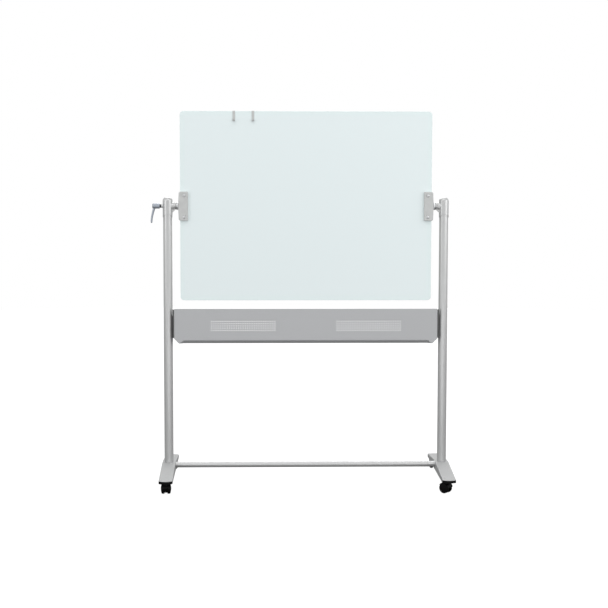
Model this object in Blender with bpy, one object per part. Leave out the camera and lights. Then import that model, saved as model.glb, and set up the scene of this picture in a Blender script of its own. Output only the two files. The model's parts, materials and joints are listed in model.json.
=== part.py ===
"""Rolling whiteboard: a double-sided glass board that turns over between two posts on a wheeled stand.

Metres, +Z up, the front faces -Y. The origin is on the floor, under the middle of the whole object.
"""

import math

import bmesh
import bpy
from mathutils import Matrix, Vector

# ---- Driving dimensions -------------------------------------------------------------------------
GAP = 0.0003  # clearance between touching pieces
MIDDLE_X = 0.0250  # the lever makes the left side longer: the board's middle stands this far right

BOARD_WIDTH = 1.2192  # the common 48 in by 36 in board
BOARD_HEIGHT = 0.9144
BOARD_CORNER = 0.018
PIVOT_Z = 1.3525  # height of the board's middle and of the axis it turns on
CORE_THICKNESS = 0.0110
SHEET_THICKNESS = 0.0005
GLASS_THICKNESS = 0.0040
CORE_INSET = 0.0010  # how far the core and its sheets stay inside the glass's edge

POST_X = 0.6706  # from the board's middle to a post's axis
POST_RADIUS = 0.022
POST_WALL = 0.0020
POST_TOP = PIVOT_Z - 0.0185

HEAD_RADIUS = 0.024
HEAD_TOP = PIVOT_Z + 0.0435
HEAD_RIM = PIVOT_Z - 0.0540  # the rim at the head's two sides
HEAD_DOME = 0.0165  # radius of the rounding round the head's top
HEAD_ARCH = 0.0150  # how far the rim rises in the middle of its front and back

FOOT_WIDTH = 0.065
FOOT_LENGTH = 0.700  # over the rounded tips
FOOT_TIP_ROUND = 0.012  # how far a tip bulges past its corners
FOOT_BOTTOM = 0.0555
FOOT_TOP = 0.0975
FOOT_TIP_TOP = 0.0705
FOOT_FLAT = 0.032  # half length of the level top that carries the post
FOOT_WALL = 0.0030
FOOT_ROOF = 0.0022
SLEEVE_RADIUS = 0.0095  # the sleeve inside the foot that takes a caster's stem
END_CAP_DEPTH = 0.010

CROSSBAR_Z = 0.0835
CROSSBAR_RADIUS = 0.014
CROSSBAR_WALL = 0.0020
END_PLATE = 0.0060  # the plate in a post's lower end; a crossbar end has one half as thick

TRAY_TOP = 0.8552
TRAY_BOTTOM = 0.6855
TRAY_FRONT = -0.030
TRAY_BACK = 0.060
TRAY_BACK_TOP = 0.725
TRAY_WALL = 0.0015
TRAY_CORNER = 0.024  # the 45 degree cut of both lower corners
TRAY_BEND = 0.0145  # height and depth of the bend along the lower front edge
TRAY_END_GAP = 0.0070  # from a tray end to the post
TRAY_SCREW = (0.0, 0.780)  # the place (y, z) of the screw through each end into the post

WHEEL_RADIUS = 0.025
WHEEL_OUTER = 0.0250  # from the caster's middle to a wheel's outer face
WHEEL_INNER = 0.0070
CASTER_TRAIL = 0.016  # from the swivel axis to the axle
CASTER_Y = 0.305  # from the post's axis to a swivel axis
STEM_RADIUS = 0.0055

LEVER_RADIUS = 0.0125
LEVER_LENGTH = 0.036
LEVER_LIFT = 0.0040

HOOK_WIDTH = 0.0125
HOOK_LENGTH = 0.050
HOOK_FROM_LEFT = {"left_flipchart_hook": 0.260, "right_flipchart_hook": 0.352}

SIDES = {"left": -1, "right": 1}
ENDS = {"front": -1, "rear": 1}
# The way each caster points at rest, in degrees about +Z. At 0 the wheels trail to the rear.
CASTER_TURN = {"left_front": 0, "right_front": 50, "left_rear": -12, "right_rear": 6}

POST_BOLT_RADIUS = 0.0050
BAR_BOLT_RADIUS = 0.0040
SCREW_RADIUS = 0.0030
SCREW_HEAD_RADIUS = 0.0075
AXLE_RADIUS = 0.0030
FENDER_RADIUS = 0.0271
FENDER_ARC = (32, 170)  # degrees round the axle, from the rear of the wheels to the front

# ---- Worked out from the driving dimensions ------------------------------------------------------
SHEET_FACE = CORE_THICKNESS / 2 + GAP
GLASS_FACE = SHEET_FACE + SHEET_THICKNESS + GAP
BOARD_FACE = GLASS_FACE + GLASS_THICKNESS
BOARD_EDGE = BOARD_WIDTH / 2
POST_BOTTOM = FOOT_TOP + GAP
TRAY_END = POST_X - POST_RADIUS - TRAY_END_GAP

# ---- Side brackets and pivots, measured from a post's axis towards the board --------------------
BRACKET_START = 0.0512
BRACKET_WIDTH = 0.0475
BRACKET_HEIGHT = 0.140
BRACKET_THICKNESS = 0.0120
BRACKET_FACE = BOARD_FACE + GAP + BRACKET_THICKNESS
BRACKET_OUTER_X = POST_X - BRACKET_START
BRACKET_INNER_X = BRACKET_OUTER_X - BRACKET_WIDTH
BRACKET_SCREW_X = BOARD_EDGE - 0.0195
BRACKET_SCREW_Z = 0.052
RECESS_RADIUS = 0.0090
RECESS_DEPTH = 0.0030
PIVOT_RADIUS = 0.0080
HEAD_BOSS_RADIUS = 0.0180
HEAD_BOSS_END = 0.0330
HEAD_NECK_RADIUS = 0.0155
HEAD_NECK_END = 0.0400
WASHER_THICKNESS = 0.0017
COLLAR_RADIUS = 0.0178
STUD_RADIUS = 0.0040
LEVER_BOSS_RADIUS = 0.0085
LEVER_BOSS_END = 0.0310  # the small boss on the left head that the lever clamps against
LEVER_START = 0.0380


# ---- Helpers -------------------------------------------------------------------------------------
def clear_scene():
    for obj in list(bpy.data.objects):
        bpy.data.objects.remove(obj, do_unlink=True)


def material(name, colour, metallic, roughness):
    """Makes a material, or finds the one that an earlier piece made."""
    found = bpy.data.materials.get(name)
    if found:
        return found
    made = bpy.data.materials.new(name)
    made.use_nodes = True
    shader = made.node_tree.nodes["Principled BSDF"]
    shader.inputs["Base Color"].default_value = (*colour, 1.0)
    shader.inputs["Metallic"].default_value = metallic
    shader.inputs["Roughness"].default_value = roughness
    return made


def silver_paint():
    return material("silver_paint", (0.60, 0.61, 0.61), 0.35, 0.42)


def tray_paint():
    return material("tray_paint", (0.45, 0.46, 0.47), 0.30, 0.45)


def grey_plastic():
    return material("grey_plastic", (0.52, 0.54, 0.54), 0.0, 0.50)


def dark_plastic():
    return material("dark_plastic", (0.10, 0.10, 0.11), 0.0, 0.55)


def black_plastic():
    return material("black_plastic", (0.015, 0.015, 0.016), 0.0, 0.40)


def wheel_plastic():
    return material("wheel_plastic", (0.010, 0.010, 0.011), 0.0, 0.50)


def zinc():
    return material("zinc", (0.62, 0.63, 0.64), 0.9, 0.32)


def black_steel():
    return material("black_steel", (0.05, 0.05, 0.055), 0.6, 0.45)


def lever_metal():
    return material("lever_metal", (0.40, 0.43, 0.47), 0.6, 0.38)


def board_glass():
    return material("board_glass", (0.78, 0.85, 0.85), 0.0, 0.06)


def sheet_steel():
    return material("sheet_steel", (0.70, 0.71, 0.72), 0.8, 0.35)


def core_board():
    return material("core_board", (0.55, 0.50, 0.42), 0.0, 0.80)


def place(obj, parent, location=(0, 0, 0), turn_z=0.0):
    obj.parent = parent
    obj.location = location
    obj.rotation_euler = (0, 0, turn_z)
    return obj


def empty(name, parent, location, turn_z=0.0):
    obj = bpy.data.objects.new(name, None)
    bpy.context.collection.objects.link(obj)
    return place(obj, parent, location, turn_z)


def finish(name, bm, look, parent, location=(0, 0, 0)):
    """Turns a bmesh into a named object whose faces point out and whose round faces are smooth."""
    bmesh.ops.remove_doubles(bm, verts=bm.verts, dist=1e-6)
    bmesh.ops.recalc_face_normals(bm, faces=bm.faces)
    mesh = bpy.data.meshes.new(name)
    bm.to_mesh(mesh)
    bm.free()
    mesh.shade_smooth()
    mesh.set_sharp_from_angle(angle=math.radians(35))
    mesh.materials.append(look)
    obj = bpy.data.objects.new(name, mesh)
    bpy.context.collection.objects.link(obj)
    return place(obj, parent, location)


def loft(name, rings, look, parent, location=(0, 0, 0)):
    """Joins rings of equally many points into one closed solid with a flat face at both ends."""
    bm = bmesh.new()
    rows = [[bm.verts.new(point) for point in ring] for ring in rings]
    count = len(rows[0])
    for row, following in zip(rows, rows[1:]):
        for i in range(count):
            j = (i + 1) % count
            bm.faces.new((row[i], row[j], following[j], following[i]))
    bm.faces.new(rows[0])
    bm.faces.new(rows[-1])
    return finish(name, bm, look, parent, location)


def along(axis, outline, distance):
    """Stands a flat outline at a distance along an axis, keeping X, Y, Z order for its own two."""
    if axis == "x":
        return [(distance, a, b) for a, b in outline]
    if axis == "y":
        return [(a, distance, b) for a, b in outline]
    return [(a, b, distance) for a, b in outline]


def prism(name, axis, outline, start, end, look, parent, location=(0, 0, 0)):
    rings = [along(axis, outline, start), along(axis, outline, end)]
    return loft(name, rings, look, parent, location)


def plate(name, outline, holes, start, end, look, parent):
    """A flat piece between two places along Y, with round holes through it."""
    bm = bmesh.new()
    for loop in [outline, *holes]:
        verts = [bm.verts.new((a, start, b)) for a, b in loop]
        for i, vert in enumerate(verts):
            bm.edges.new((verts[i - 1], vert))
    bmesh.ops.triangle_fill(bm, use_beauty=True, edges=bm.edges)
    side = bmesh.ops.extrude_face_region(bm, geom=bm.faces[:])
    moved = [item for item in side["geom"] if isinstance(item, bmesh.types.BMVert)]
    bmesh.ops.translate(bm, verts=moved, vec=(0, end - start, 0))
    return finish(name, bm, look, parent)


def lathe(name, axis, profile, steps, look, parent, location=(0, 0, 0), closed=False):
    """Turns a profile of (place along the axis, radius) points about the X or the Z axis."""
    bm = bmesh.new()
    if axis == "x":
        verts = [bm.verts.new((place_along, 0, radius)) for place_along, radius in profile]
    else:
        verts = [bm.verts.new((radius, 0, place_along)) for place_along, radius in profile]
    pairs = list(zip(verts, verts[1:]))
    if closed:
        pairs.append((verts[-1], verts[0]))
    on_axis = {vert for vert, (_, radius) in zip(verts, profile) if radius == 0}
    edges = [bm.edges.new(pair) for pair in pairs if not on_axis.issuperset(pair)]
    direction = (1, 0, 0) if axis == "x" else (0, 0, 1)
    bmesh.ops.spin(
        bm,
        geom=verts + edges,
        cent=(0, 0, 0),
        axis=direction,
        angle=2 * math.pi,
        steps=steps,
        use_merge=True,
    )
    return finish(name, bm, look, parent, location)


def arc(centre, radius, start, end, steps):
    """Points on a circle from one angle to another, in degrees."""
    angles = [math.radians(start + (end - start) * i / steps) for i in range(steps + 1)]
    return [(centre[0] + radius * math.cos(a), centre[1] + radius * math.sin(a)) for a in angles]


def rounded(corners, steps=4):
    """An outline from (x, y, radius) corners, with an arc in place of each corner that has one."""
    outline = []
    for i, (x, y, radius) in enumerate(corners):
        here = Vector((x, y))
        if radius == 0:
            outline.append((x, y))
            continue
        before = (Vector(corners[i - 1][:2]) - here).normalized()
        after = (Vector(corners[(i + 1) % len(corners)][:2]) - here).normalized()
        half = before.angle(after) / 2
        middle = here + (before + after).normalized() * radius / math.sin(half)
        first = here + before * radius / math.tan(half) - middle
        last = here + after * radius / math.tan(half) - middle
        sweep = first.angle_signed(last)
        for k in range(steps + 1):
            turned = Matrix.Rotation(-sweep * k / steps, 2) @ first
            outline.append(tuple(middle + turned))
    return outline


def rectangle(half_width, half_height, radius=0.0, steps=4, middle=(0, 0)):
    a, b = middle
    corners = [
        (a - half_width, b - half_height, radius),
        (a + half_width, b - half_height, radius),
        (a + half_width, b + half_height, radius),
        (a - half_width, b + half_height, radius),
    ]
    return rounded(corners, steps)


def ribbon(path, thickness):
    """The outline of a flat path with a thickness, with mitred bends."""
    left, right = [], []
    for i, (x, y) in enumerate(path):
        here = Vector((x, y))
        back = (here - Vector(path[i - 1])).normalized() if i else None
        on = (Vector(path[i + 1]) - here).normalized() if i < len(path) - 1 else None
        heading = ((back or on) + (on or back)).normalized()
        side = Vector((-heading.y, heading.x))
        reach = thickness / 2 / max(0.3, heading.dot(on or back))
        left.append(tuple(here + side * reach))
        right.append(tuple(here - side * reach))
    return left + right[::-1]


def helper(obj):
    """Marks an object as a tool that shapes others and isn't a piece itself."""
    obj.hide_render = True
    obj.display_type = "WIRE"
    return obj


def combine(obj, operation, tools):
    for tool in tools:
        modifier = obj.modifiers.new(tool.name, "BOOLEAN")
        modifier.operation = operation
        modifier.object = helper(tool)


def rod(name, axis, centre, radius, start, end, parent, steps=12):
    """A round bar, used to cut a bore or to add a boss."""
    half_step = 180 / steps
    outline = arc((0, 0), radius, half_step, 360 - half_step, steps - 1)
    at = {"x": (0, *centre), "y": (centre[0], 0, centre[1]), "z": (*centre, 0)}
    return prism(name, axis, outline, start, end, zinc(), parent, at[axis])


# ---- Stand ---------------------------------------------------------------------------------------
def foot_top(y):
    """Height of the foot's upper face: level under the post, then sloping down to the tips."""
    slope = (FOOT_TOP - FOOT_TIP_TOP) / (FOOT_LENGTH / 2 - FOOT_FLAT)
    return FOOT_TOP - slope * max(0.0, abs(y) - FOOT_FLAT)


def tip_arc(end):
    """The rounded end of the foot, seen from above, from one corner to the other."""
    half = FOOT_WIDTH / 2
    radius = (half**2 + FOOT_TIP_ROUND**2) / (2 * FOOT_TIP_ROUND)
    spread = math.degrees(math.asin(half / radius))
    middle = (0, end * (FOOT_LENGTH / 2 - radius))
    return arc(middle, radius, end * 90 - spread, end * 90 + spread, 6)


def foot(side, root):
    """An inverted channel with a sloping roof, a socket for each caster's stem and two bolt holes."""
    sign = SIDES[side]
    length = FOOT_LENGTH / 2
    at = (sign * POST_X, 0, 0)
    name = f"{side}_foot"
    half = FOOT_WIDTH / 2
    beyond = length + 0.02
    outline = [(-beyond, FOOT_BOTTOM), (-beyond, foot_top(beyond)), (-FOOT_FLAT, FOOT_TOP)]
    outline += [(-y, z) for y, z in reversed(outline)]
    body = prism(name, "x", outline, -half - 0.01, half + 0.01, silver_paint(), root, at)
    plan = tip_arc(-1) + tip_arc(1)
    trim = prism(f"{name}_plan", "z", plan, 0, 2 * FOOT_TOP, zinc(), root, at)
    combine(body, "INTERSECT", [trim])

    inside, outside = half - FOOT_WALL, half + 0.01
    mouth = length - END_CAP_DEPTH - FOOT_TIP_ROUND
    stations = [(FOOT_FLAT, inside), (mouth - GAP, inside), (mouth, outside), (beyond, outside)]
    stations = [(-y, width) for y, width in reversed(stations)] + stations
    rings = []
    for y, width in stations:
        ceiling = foot_top(y) - FOOT_ROOF
        rings.append([(-width, y, 0), (width, y, 0), (width, y, ceiling), (-width, y, ceiling)])
    hollow = loft(f"{name}_hollow", rings, zinc(), root, at)
    combine(body, "DIFFERENCE", [hollow])

    roof = foot_top(CASTER_Y) - FOOT_ROOF
    holes = []
    for end, way in ENDS.items():
        middle = (sign * POST_X, way * CASTER_Y)
        span = (FOOT_BOTTOM + 0.0005, roof + FOOT_ROOF / 2)
        sleeve = rod(f"{name}_{end}_sleeve", "z", middle, SLEEVE_RADIUS, *span, root, 16)
        combine(body, "UNION", [sleeve])
        bore = STEM_RADIUS + GAP
        holes.append(rod(f"{name}_{end}_bore", "z", middle, bore, 0.03, roof - 0.0005, root, 16))
    clear = POST_BOLT_RADIUS + GAP
    holes.append(rod(f"{name}_bolt_hole", "z", (sign * POST_X, 0), clear, 0.08, 0.11, root))
    wall = sign * (POST_X - half)
    ends = sorted((wall - sign * 0.002, wall + sign * 0.005))
    clear = BAR_BOLT_RADIUS + GAP
    holes.append(rod(f"{name}_bar_hole", "x", (0, CROSSBAR_Z), clear, *ends, root))
    combine(body, "DIFFERENCE", holes)


def foot_end_cap(side, end, root):
    """The black piece that closes the open tip of a foot under the overhang of its roof."""
    way = ENDS[end]
    back = way * (FOOT_LENGTH / 2 - END_CAP_DEPTH - FOOT_TIP_ROUND + GAP)
    half = FOOT_WIDTH / 2
    outline = tip_arc(way)
    if way > 0:
        outline += [(-half, back), (half, back)]
    else:
        outline += [(half, back), (-half, back)]
    top = foot_top(FOOT_LENGTH / 2) - FOOT_ROOF - GAP
    at = (SIDES[side] * POST_X, 0, 0)
    prism(f"{side}_foot_{end}_cap", "z", outline, FOOT_BOTTOM, top, black_plastic(), root, at)


def post(side, root):
    """A round tube with an end plate that the bolt from the foot screws into."""
    name = f"{side}_post"
    inner = POST_RADIUS - POST_WALL
    end_plate = POST_BOTTOM + END_PLATE
    bolt_hole = POST_BOLT_RADIUS + GAP
    profile = [(POST_BOTTOM, bolt_hole), (POST_BOTTOM, POST_RADIUS), (POST_TOP, POST_RADIUS)]
    profile += [(POST_TOP, inner), (end_plate, inner), (end_plate, bolt_hole)]
    at = (SIDES[side] * POST_X, 0, 0)
    tube = lathe(name, "z", profile, 24, silver_paint(), root, at, closed=True)
    wall = SIDES[side] * (POST_X - POST_RADIUS)
    clear = SCREW_RADIUS + GAP
    hole = rod(f"{name}_screw_hole", "x", TRAY_SCREW, clear, wall - 0.006, wall + 0.006, root)
    combine(tube, "DIFFERENCE", [hole])


def post_bolt(side, root):
    head_top = FOOT_TOP - FOOT_ROOF - GAP
    profile = [(head_top - 0.0075, 0), (head_top - 0.0075, 0.009), (head_top, 0.009)]
    tip = head_top + 0.022
    profile += [(head_top, POST_BOLT_RADIUS), (tip, POST_BOLT_RADIUS), (tip, 0)]
    lathe(f"{side}_post_bolt", "z", profile, 12, zinc(), root, (SIDES[side] * POST_X, 0, 0))


def crossbar(root):
    end = POST_X - FOOT_WIDTH / 2 - GAP
    inner = CROSSBAR_RADIUS - CROSSBAR_WALL
    end_plate = end - END_PLATE / 2
    hole = BAR_BOLT_RADIUS + GAP
    profile = [(-end, hole), (-end, CROSSBAR_RADIUS), (end, CROSSBAR_RADIUS), (end, hole)]
    profile += [(end_plate, hole), (end_plate, inner), (-end_plate, inner), (-end_plate, hole)]
    lathe("crossbar", "x", profile, 20, silver_paint(), root, (0, 0, CROSSBAR_Z), closed=True)


def crossbar_bolt(side, root):
    """The bolt inside a foot that holds the crossbar's end against the foot's wall."""
    sign = SIDES[side]
    seat = POST_X - FOOT_WIDTH / 2 + FOOT_WALL + GAP
    profile = [(seat + 0.005, 0), (seat + 0.005, 0.008), (seat, 0.008)]
    profile += [(seat, BAR_BOLT_RADIUS), (seat - 0.020, BAR_BOLT_RADIUS), (seat - 0.020, 0)]
    profile = [(sign * x, radius) for x, radius in profile]
    lathe(f"{side}_crossbar_bolt", "x", profile, 12, zinc(), root, (0, 0, CROSSBAR_Z))


# ---- Tray ----------------------------------------------------------------------------------------
def tray_section(x, bottom, bend, wall=0.0):
    """The tray's outline at one place along it: tall front, bent lower edge, floor and low back."""
    front, back = TRAY_FRONT + wall, TRAY_BACK - wall
    floor = bottom + wall
    bend = max(bend - 0.6 * wall, 0.001)
    raised = 0.02 if wall else 0.0  # the hollow runs out of the open top
    outline = [(front, TRAY_TOP + raised), (front, floor + bend), (front + bend, floor)]
    outline += [(back, floor), (back, TRAY_BACK_TOP + raised)]
    return along("x", outline, x)


def tray_rings(wall):
    """Sections from the left end to the right: cut corners, then the bent lower edge between them."""
    stations = [(TRAY_END - wall, TRAY_CORNER, 0.001), (TRAY_END - TRAY_CORNER, 0.0, 0.001)]
    stations += [(TRAY_END - 0.030, 0.0, 0.001), (TRAY_END - 0.047, 0.0, TRAY_BEND)]
    left = [tray_section(-x, TRAY_BOTTOM + rise, bend, wall) for x, rise, bend in stations]
    right = [tray_section(x, TRAY_BOTTOM + rise, bend, wall) for x, rise, bend in stations]
    return left + right[::-1]


def tray(root):
    """A folded sheet-steel trough with closed ends."""
    body = loft("tray", tray_rings(0.0), tray_paint(), root)
    hollow = loft("tray_hollow", tray_rings(TRAY_WALL), zinc(), root)
    holes = []
    for side, sign in SIDES.items():
        ends = sorted((sign * (TRAY_END - 0.01), sign * (TRAY_END + 0.01)))
        holes.append(rod(f"{side}_tray_hole", "x", TRAY_SCREW, SCREW_RADIUS + GAP, *ends, root))
    combine(body, "DIFFERENCE", [hollow, *holes])


def tray_bracket(side, root):
    """The plate between a tray end and its post."""
    sign = SIDES[side]
    front = TRAY_FRONT + 0.0015
    low = TRAY_BOTTOM + TRAY_CORNER + 0.003
    outline = [(front, low), (0.030, low), (0.030, 0.762), (front, TRAY_TOP - 0.001)]
    near = sign * (TRAY_END + GAP)
    far = sign * (POST_X - POST_RADIUS - GAP)
    spacer = prism(f"{side}_tray_bracket", "x", outline, near, far, dark_plastic(), root)
    ends = sorted((near - sign * 0.003, far + sign * 0.003))
    hole = rod(f"{side}_bracket_hole", "x", TRAY_SCREW, SCREW_RADIUS + GAP, *ends, root)
    combine(spacer, "DIFFERENCE", [hole])


def tray_screw(side, root):
    sign = SIDES[side]
    seat = TRAY_END - TRAY_WALL - GAP
    profile = [(seat - 0.0032, 0), (seat - 0.0032, 0.0045), (seat - 0.0018, 0.006), (seat, 0.006)]
    profile += [(seat, SCREW_RADIUS), (seat + 0.016, SCREW_RADIUS), (seat + 0.016, 0)]
    profile = [(sign * x, radius) for x, radius in profile]
    lathe(f"{side}_tray_screw", "x", profile, 12, zinc(), root, (0, *TRAY_SCREW))


# ---- Pivots --------------------------------------------------------------------------------------
def post_head(side, root):
    """The cap on a post: a domed sleeve with an arched rim and a boss that the board's pivot runs in."""
    sign = SIDES[side]
    name = f"{side}_post_head"
    crown = HEAD_TOP - 0.001
    dome = arc((crown - HEAD_DOME, HEAD_RADIUS - HEAD_DOME), HEAD_DOME, 90, 0, 5)
    profile = [(HEAD_RIM, 0), (HEAD_RIM, HEAD_RADIUS), *dome, (HEAD_TOP, 0)]
    at = (sign * POST_X, 0, 0)
    body = lathe(name, "z", profile, 24, silver_paint(), root, at)

    def inward(*distances):
        """Places along X, measured from the post's axis towards the board."""
        return sorted(sign * (POST_X - distance) for distance in distances)

    axis = (0, PIVOT_Z)
    boss = rod(f"{name}_boss", "x", axis, HEAD_BOSS_RADIUS, *inward(0.010, HEAD_BOSS_END), root, 20)
    neck = rod(f"{name}_neck", "x", axis, HEAD_NECK_RADIUS, *inward(0.012, HEAD_NECK_END), root, 20)
    web = [(0.014, -0.040), (0.0385, -0.0165), (0.0385, -0.006), (0.014, -0.006)]
    web = [(sign * (POST_X - a), PIVOT_Z + b) for a, b in web]
    gusset = prism(f"{name}_gusset", "y", web, -0.009, 0.009, zinc(), root)
    added = [boss, neck, gusset]
    if side == "left":
        span = inward(-LEVER_BOSS_END, -0.018)
        added.append(rod(f"{name}_lever_boss", "x", axis, LEVER_BOSS_RADIUS, *span, root, 16))
    combine(body, "UNION", added)

    middle = (sign * POST_X, 0)
    span = (HEAD_RIM - 0.01, POST_TOP + GAP)
    sleeve = rod(f"{name}_sleeve", "z", middle, POST_RADIUS + GAP, *span, root, 24)
    bore = rod(f"{name}_bore", "x", axis, PIVOT_RADIUS + GAP, *inward(-0.014, 0.060), root, 20)
    half = HEAD_RADIUS - 0.0012
    radius = (half**2 + HEAD_ARCH**2) / (2 * HEAD_ARCH)
    arch_middle = (sign * POST_X, HEAD_RIM + HEAD_ARCH - radius)
    arch = rod(f"{name}_arch", "y", arch_middle, radius, -0.04, 0.04, root, 30)
    removed = [sleeve, bore, arch]
    if side == "left":
        clear = STUD_RADIUS + GAP
        removed.append(rod(f"{name}_stud_hole", "x", axis, clear, *inward(-0.040, -0.010), root, 16))
    combine(body, "DIFFERENCE", removed)


def friction_washer(side, root):
    sign = SIDES[side]
    start = HEAD_NECK_END + GAP
    near, far = sign * (POST_X - start), sign * (POST_X - start - WASHER_THICKNESS)
    inner, outer = PIVOT_RADIUS + GAP, 0.0165
    profile = [(near, inner), (near, outer), (far, outer), (far, inner)]
    name = f"{side}_friction_washer"
    lathe(name, "x", profile, 16, dark_plastic(), root, (0, 0, PIVOT_Z), closed=True)


def board_pivot(side, board):
    """The turned shaft that the board hangs on: a spigot in the bracket, a collar and a journal."""
    sign = SIDES[side]
    collar = HEAD_NECK_END + GAP + WASHER_THICKNESS + GAP
    seat = BRACKET_START - GAP
    spigot_end = POST_X - BOARD_EDGE - 0.0015
    shaft_end = -0.0137
    profile = [(spigot_end, 0), (spigot_end, PIVOT_RADIUS), (seat, PIVOT_RADIUS), (seat, COLLAR_RADIUS)]
    profile += [(collar, COLLAR_RADIUS), (collar, PIVOT_RADIUS), (shaft_end, PIVOT_RADIUS)]
    if side == "left":
        bore = STUD_RADIUS + GAP
        profile += [(shaft_end, bore), (0.0100, bore), (0.0100, 0)]
    else:
        profile += [(shaft_end, 0)]
    profile = [(sign * (POST_X - a), radius) for a, radius in profile]
    lathe(f"{side}_pivot_shaft", "x", profile, 20, zinc(), board)


# ---- Board ---------------------------------------------------------------------------------------
def screw_places():
    return [(sx * BRACKET_SCREW_X, sz * BRACKET_SCREW_Z) for sx in (-1, 1) for sz in (-1, 1)]


def board_layer(name, inset, start, end, look, board):
    half_width = BOARD_EDGE - inset
    half_height = BOARD_HEIGHT / 2 - inset
    outline = rectangle(half_width, half_height, BOARD_CORNER - inset)
    holes = [arc(middle, SCREW_RADIUS + 0.0008, 0, 315, 7) for middle in screw_places()]
    plate(name, outline, holes, start, end, look, board)


def board_layers(board):
    """Glass, steel sheet, core, steel sheet, glass, with the four bracket screws running through."""
    half_core = CORE_THICKNESS / 2
    board_layer("board_core", CORE_INSET, -half_core, half_core, core_board(), board)
    for end, way in ENDS.items():
        sheet_end = SHEET_FACE + SHEET_THICKNESS
        sheet = f"{end}_steel_sheet"
        board_layer(sheet, CORE_INSET, way * SHEET_FACE, way * sheet_end, sheet_steel(), board)
        face = f"{end}_glass"
        board_layer(face, 0.0, way * GLASS_FACE, way * BOARD_FACE, board_glass(), board)


def bracket_outline(sign, inset):
    """Straight inner edge, slightly bowed outer edge and rounded corners, from the front."""
    half = BRACKET_HEIGHT / 2 - inset
    inner = BRACKET_INNER_X + inset
    outer = BRACKET_OUTER_X - inset
    bow = 0.0030
    corners = [
        (inner, -half, 0.003),
        (outer - bow, -half, 0.007),
        (outer, 0, 0.400),
        (outer - bow, half, 0.007),
        (inner, half, 0.003),
    ]
    return [(sign * x, z) for x, z in rounded(corners, 3)]


def bracket_shell(side, end, board):
    """Half of the clamp on a side of the board. It wraps round the edge and holds the pivot's spigot."""
    sign = SIDES[side]
    way = ENDS[end]
    name = f"{side}_bracket_{end}_shell"
    edge = 0.0025
    rings = [
        along("y", bracket_outline(sign, 0.0), way * GAP / 2),
        along("y", bracket_outline(sign, 0.0), way * (BRACKET_FACE - edge)),
        along("y", bracket_outline(sign, edge), way * BRACKET_FACE),
    ]
    shell = loft(name, rings, grey_plastic(), board)
    slot_edge = BOARD_EDGE + 0.0005
    slot_middle = (sign * slot_edge / 2, 0)
    slot = rectangle(slot_edge / 2, 0.2, middle=slot_middle)
    depth = way * (BOARD_FACE + GAP)
    cuts = [prism(f"{name}_slot", "y", slot, -way * 0.01, depth, zinc(), board)]
    spigot = sorted((sign * (BOARD_EDGE - 0.004), sign * (BRACKET_OUTER_X + 0.004)))
    cuts.append(rod(f"{name}_bore", "x", (0, 0), PIVOT_RADIUS + GAP, *spigot, board, 20))
    for i, sz in enumerate((-1, 1)):
        middle = (sign * BRACKET_SCREW_X, sz * BRACKET_SCREW_Z)
        if end == "front":
            recess = BRACKET_FACE - RECESS_DEPTH
            span = sorted((way * recess, way * (BRACKET_FACE + 0.004)))
            cuts.append(rod(f"{name}_recess_{i}", "y", middle, RECESS_RADIUS, *span, board, 16))
            span = sorted((0.0, way * (recess + 0.002)))
        else:
            span = sorted((0.0, way * (BRACKET_FACE - 0.004)))
        cuts.append(rod(f"{name}_hole_{i}", "y", middle, SCREW_RADIUS + GAP, *span, board))
    combine(shell, "DIFFERENCE", cuts)


def bracket_screw(side, level, board):
    """A pan-head screw from the front shell, through the board, into the rear shell."""
    middle = (SIDES[side] * BRACKET_SCREW_X, {"upper": 1, "lower": -1}[level] * BRACKET_SCREW_Z)
    seat = BRACKET_FACE - RECESS_DEPTH + GAP
    top = seat + 0.0022
    tip = BRACKET_FACE - 0.005
    steps = 12
    head = SCREW_HEAD_RADIUS
    radii = [(-top, head - 0.0015), (-top + 0.0010, head), (-seat, head)]
    radii += [(-seat, SCREW_RADIUS), (tip, SCREW_RADIUS)]
    turn = 360 * (steps - 1) / steps
    rings = [along("y", arc(middle, radius, 0, turn, steps - 1), y) for y, radius in radii]
    loft(f"{side}_{level}_bracket_screw", rings, zinc(), board)


def flipchart_hook(name, board):
    """A bent strip that rides on the board's top edge, with a curled peg for a pad of paper."""
    thickness = 0.0016
    middle = BOARD_FACE + GAP + thickness / 2
    top = BOARD_HEIGHT / 2 + GAP + thickness / 2
    low = BOARD_HEIGHT / 2 - HOOK_LENGTH
    peg = -middle - 0.009
    path = [(middle, top - 0.030), (middle, top), (-middle, top), (-middle, low + 0.009)]
    path += [(-middle - 0.0025, low + 0.003), (peg, low + 0.0015), (peg - 0.004, low + 0.010)]
    half = HOOK_WIDTH / 2
    at = (-BOARD_EDGE + HOOK_FROM_LEFT[name], 0, 0)
    prism(name, "x", ribbon(path, thickness), -half, half, grey_plastic(), board, at)


# ---- Clamping lever, measured outwards from the left post's axis --------------------------------
def lever_insert(lever):
    """Threaded stud, collar and toothed core in one. It turns with the handle and clamps the pivot."""
    hub = LEVER_START
    collar = hub - 0.0007
    profile = [(-0.0085, 0), (-0.0085, STUD_RADIUS), (LEVER_BOSS_END + GAP, STUD_RADIUS)]
    profile += [(LEVER_BOSS_END + GAP, 0.0080), (collar, 0.0090), (collar, 0.0055)]
    profile += [(hub + 0.012, 0.0055), (hub + 0.012, 0.0023), (hub + 0.002, 0.0023), (hub + 0.002, 0)]
    profile = [(-distance, radius) for distance, radius in profile]
    lathe("lever_insert", "x", profile, 16, black_steel(), lever)


def lever_screw(lever):
    """The screw that keeps the handle on the insert, with the spring round it."""
    start = LEVER_START + 0.0024
    head = LEVER_START + 0.0270
    profile = [(start, 0), (start, 0.0020), (head, 0.0020), (head, 0.0070), (head + 0.003, 0.0070)]
    profile += [(head + 0.003, 0)]
    profile = [(-distance, radius) for distance, radius in profile]
    lathe("lever_screw", "x", profile, 16, zinc(), lever)


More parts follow.
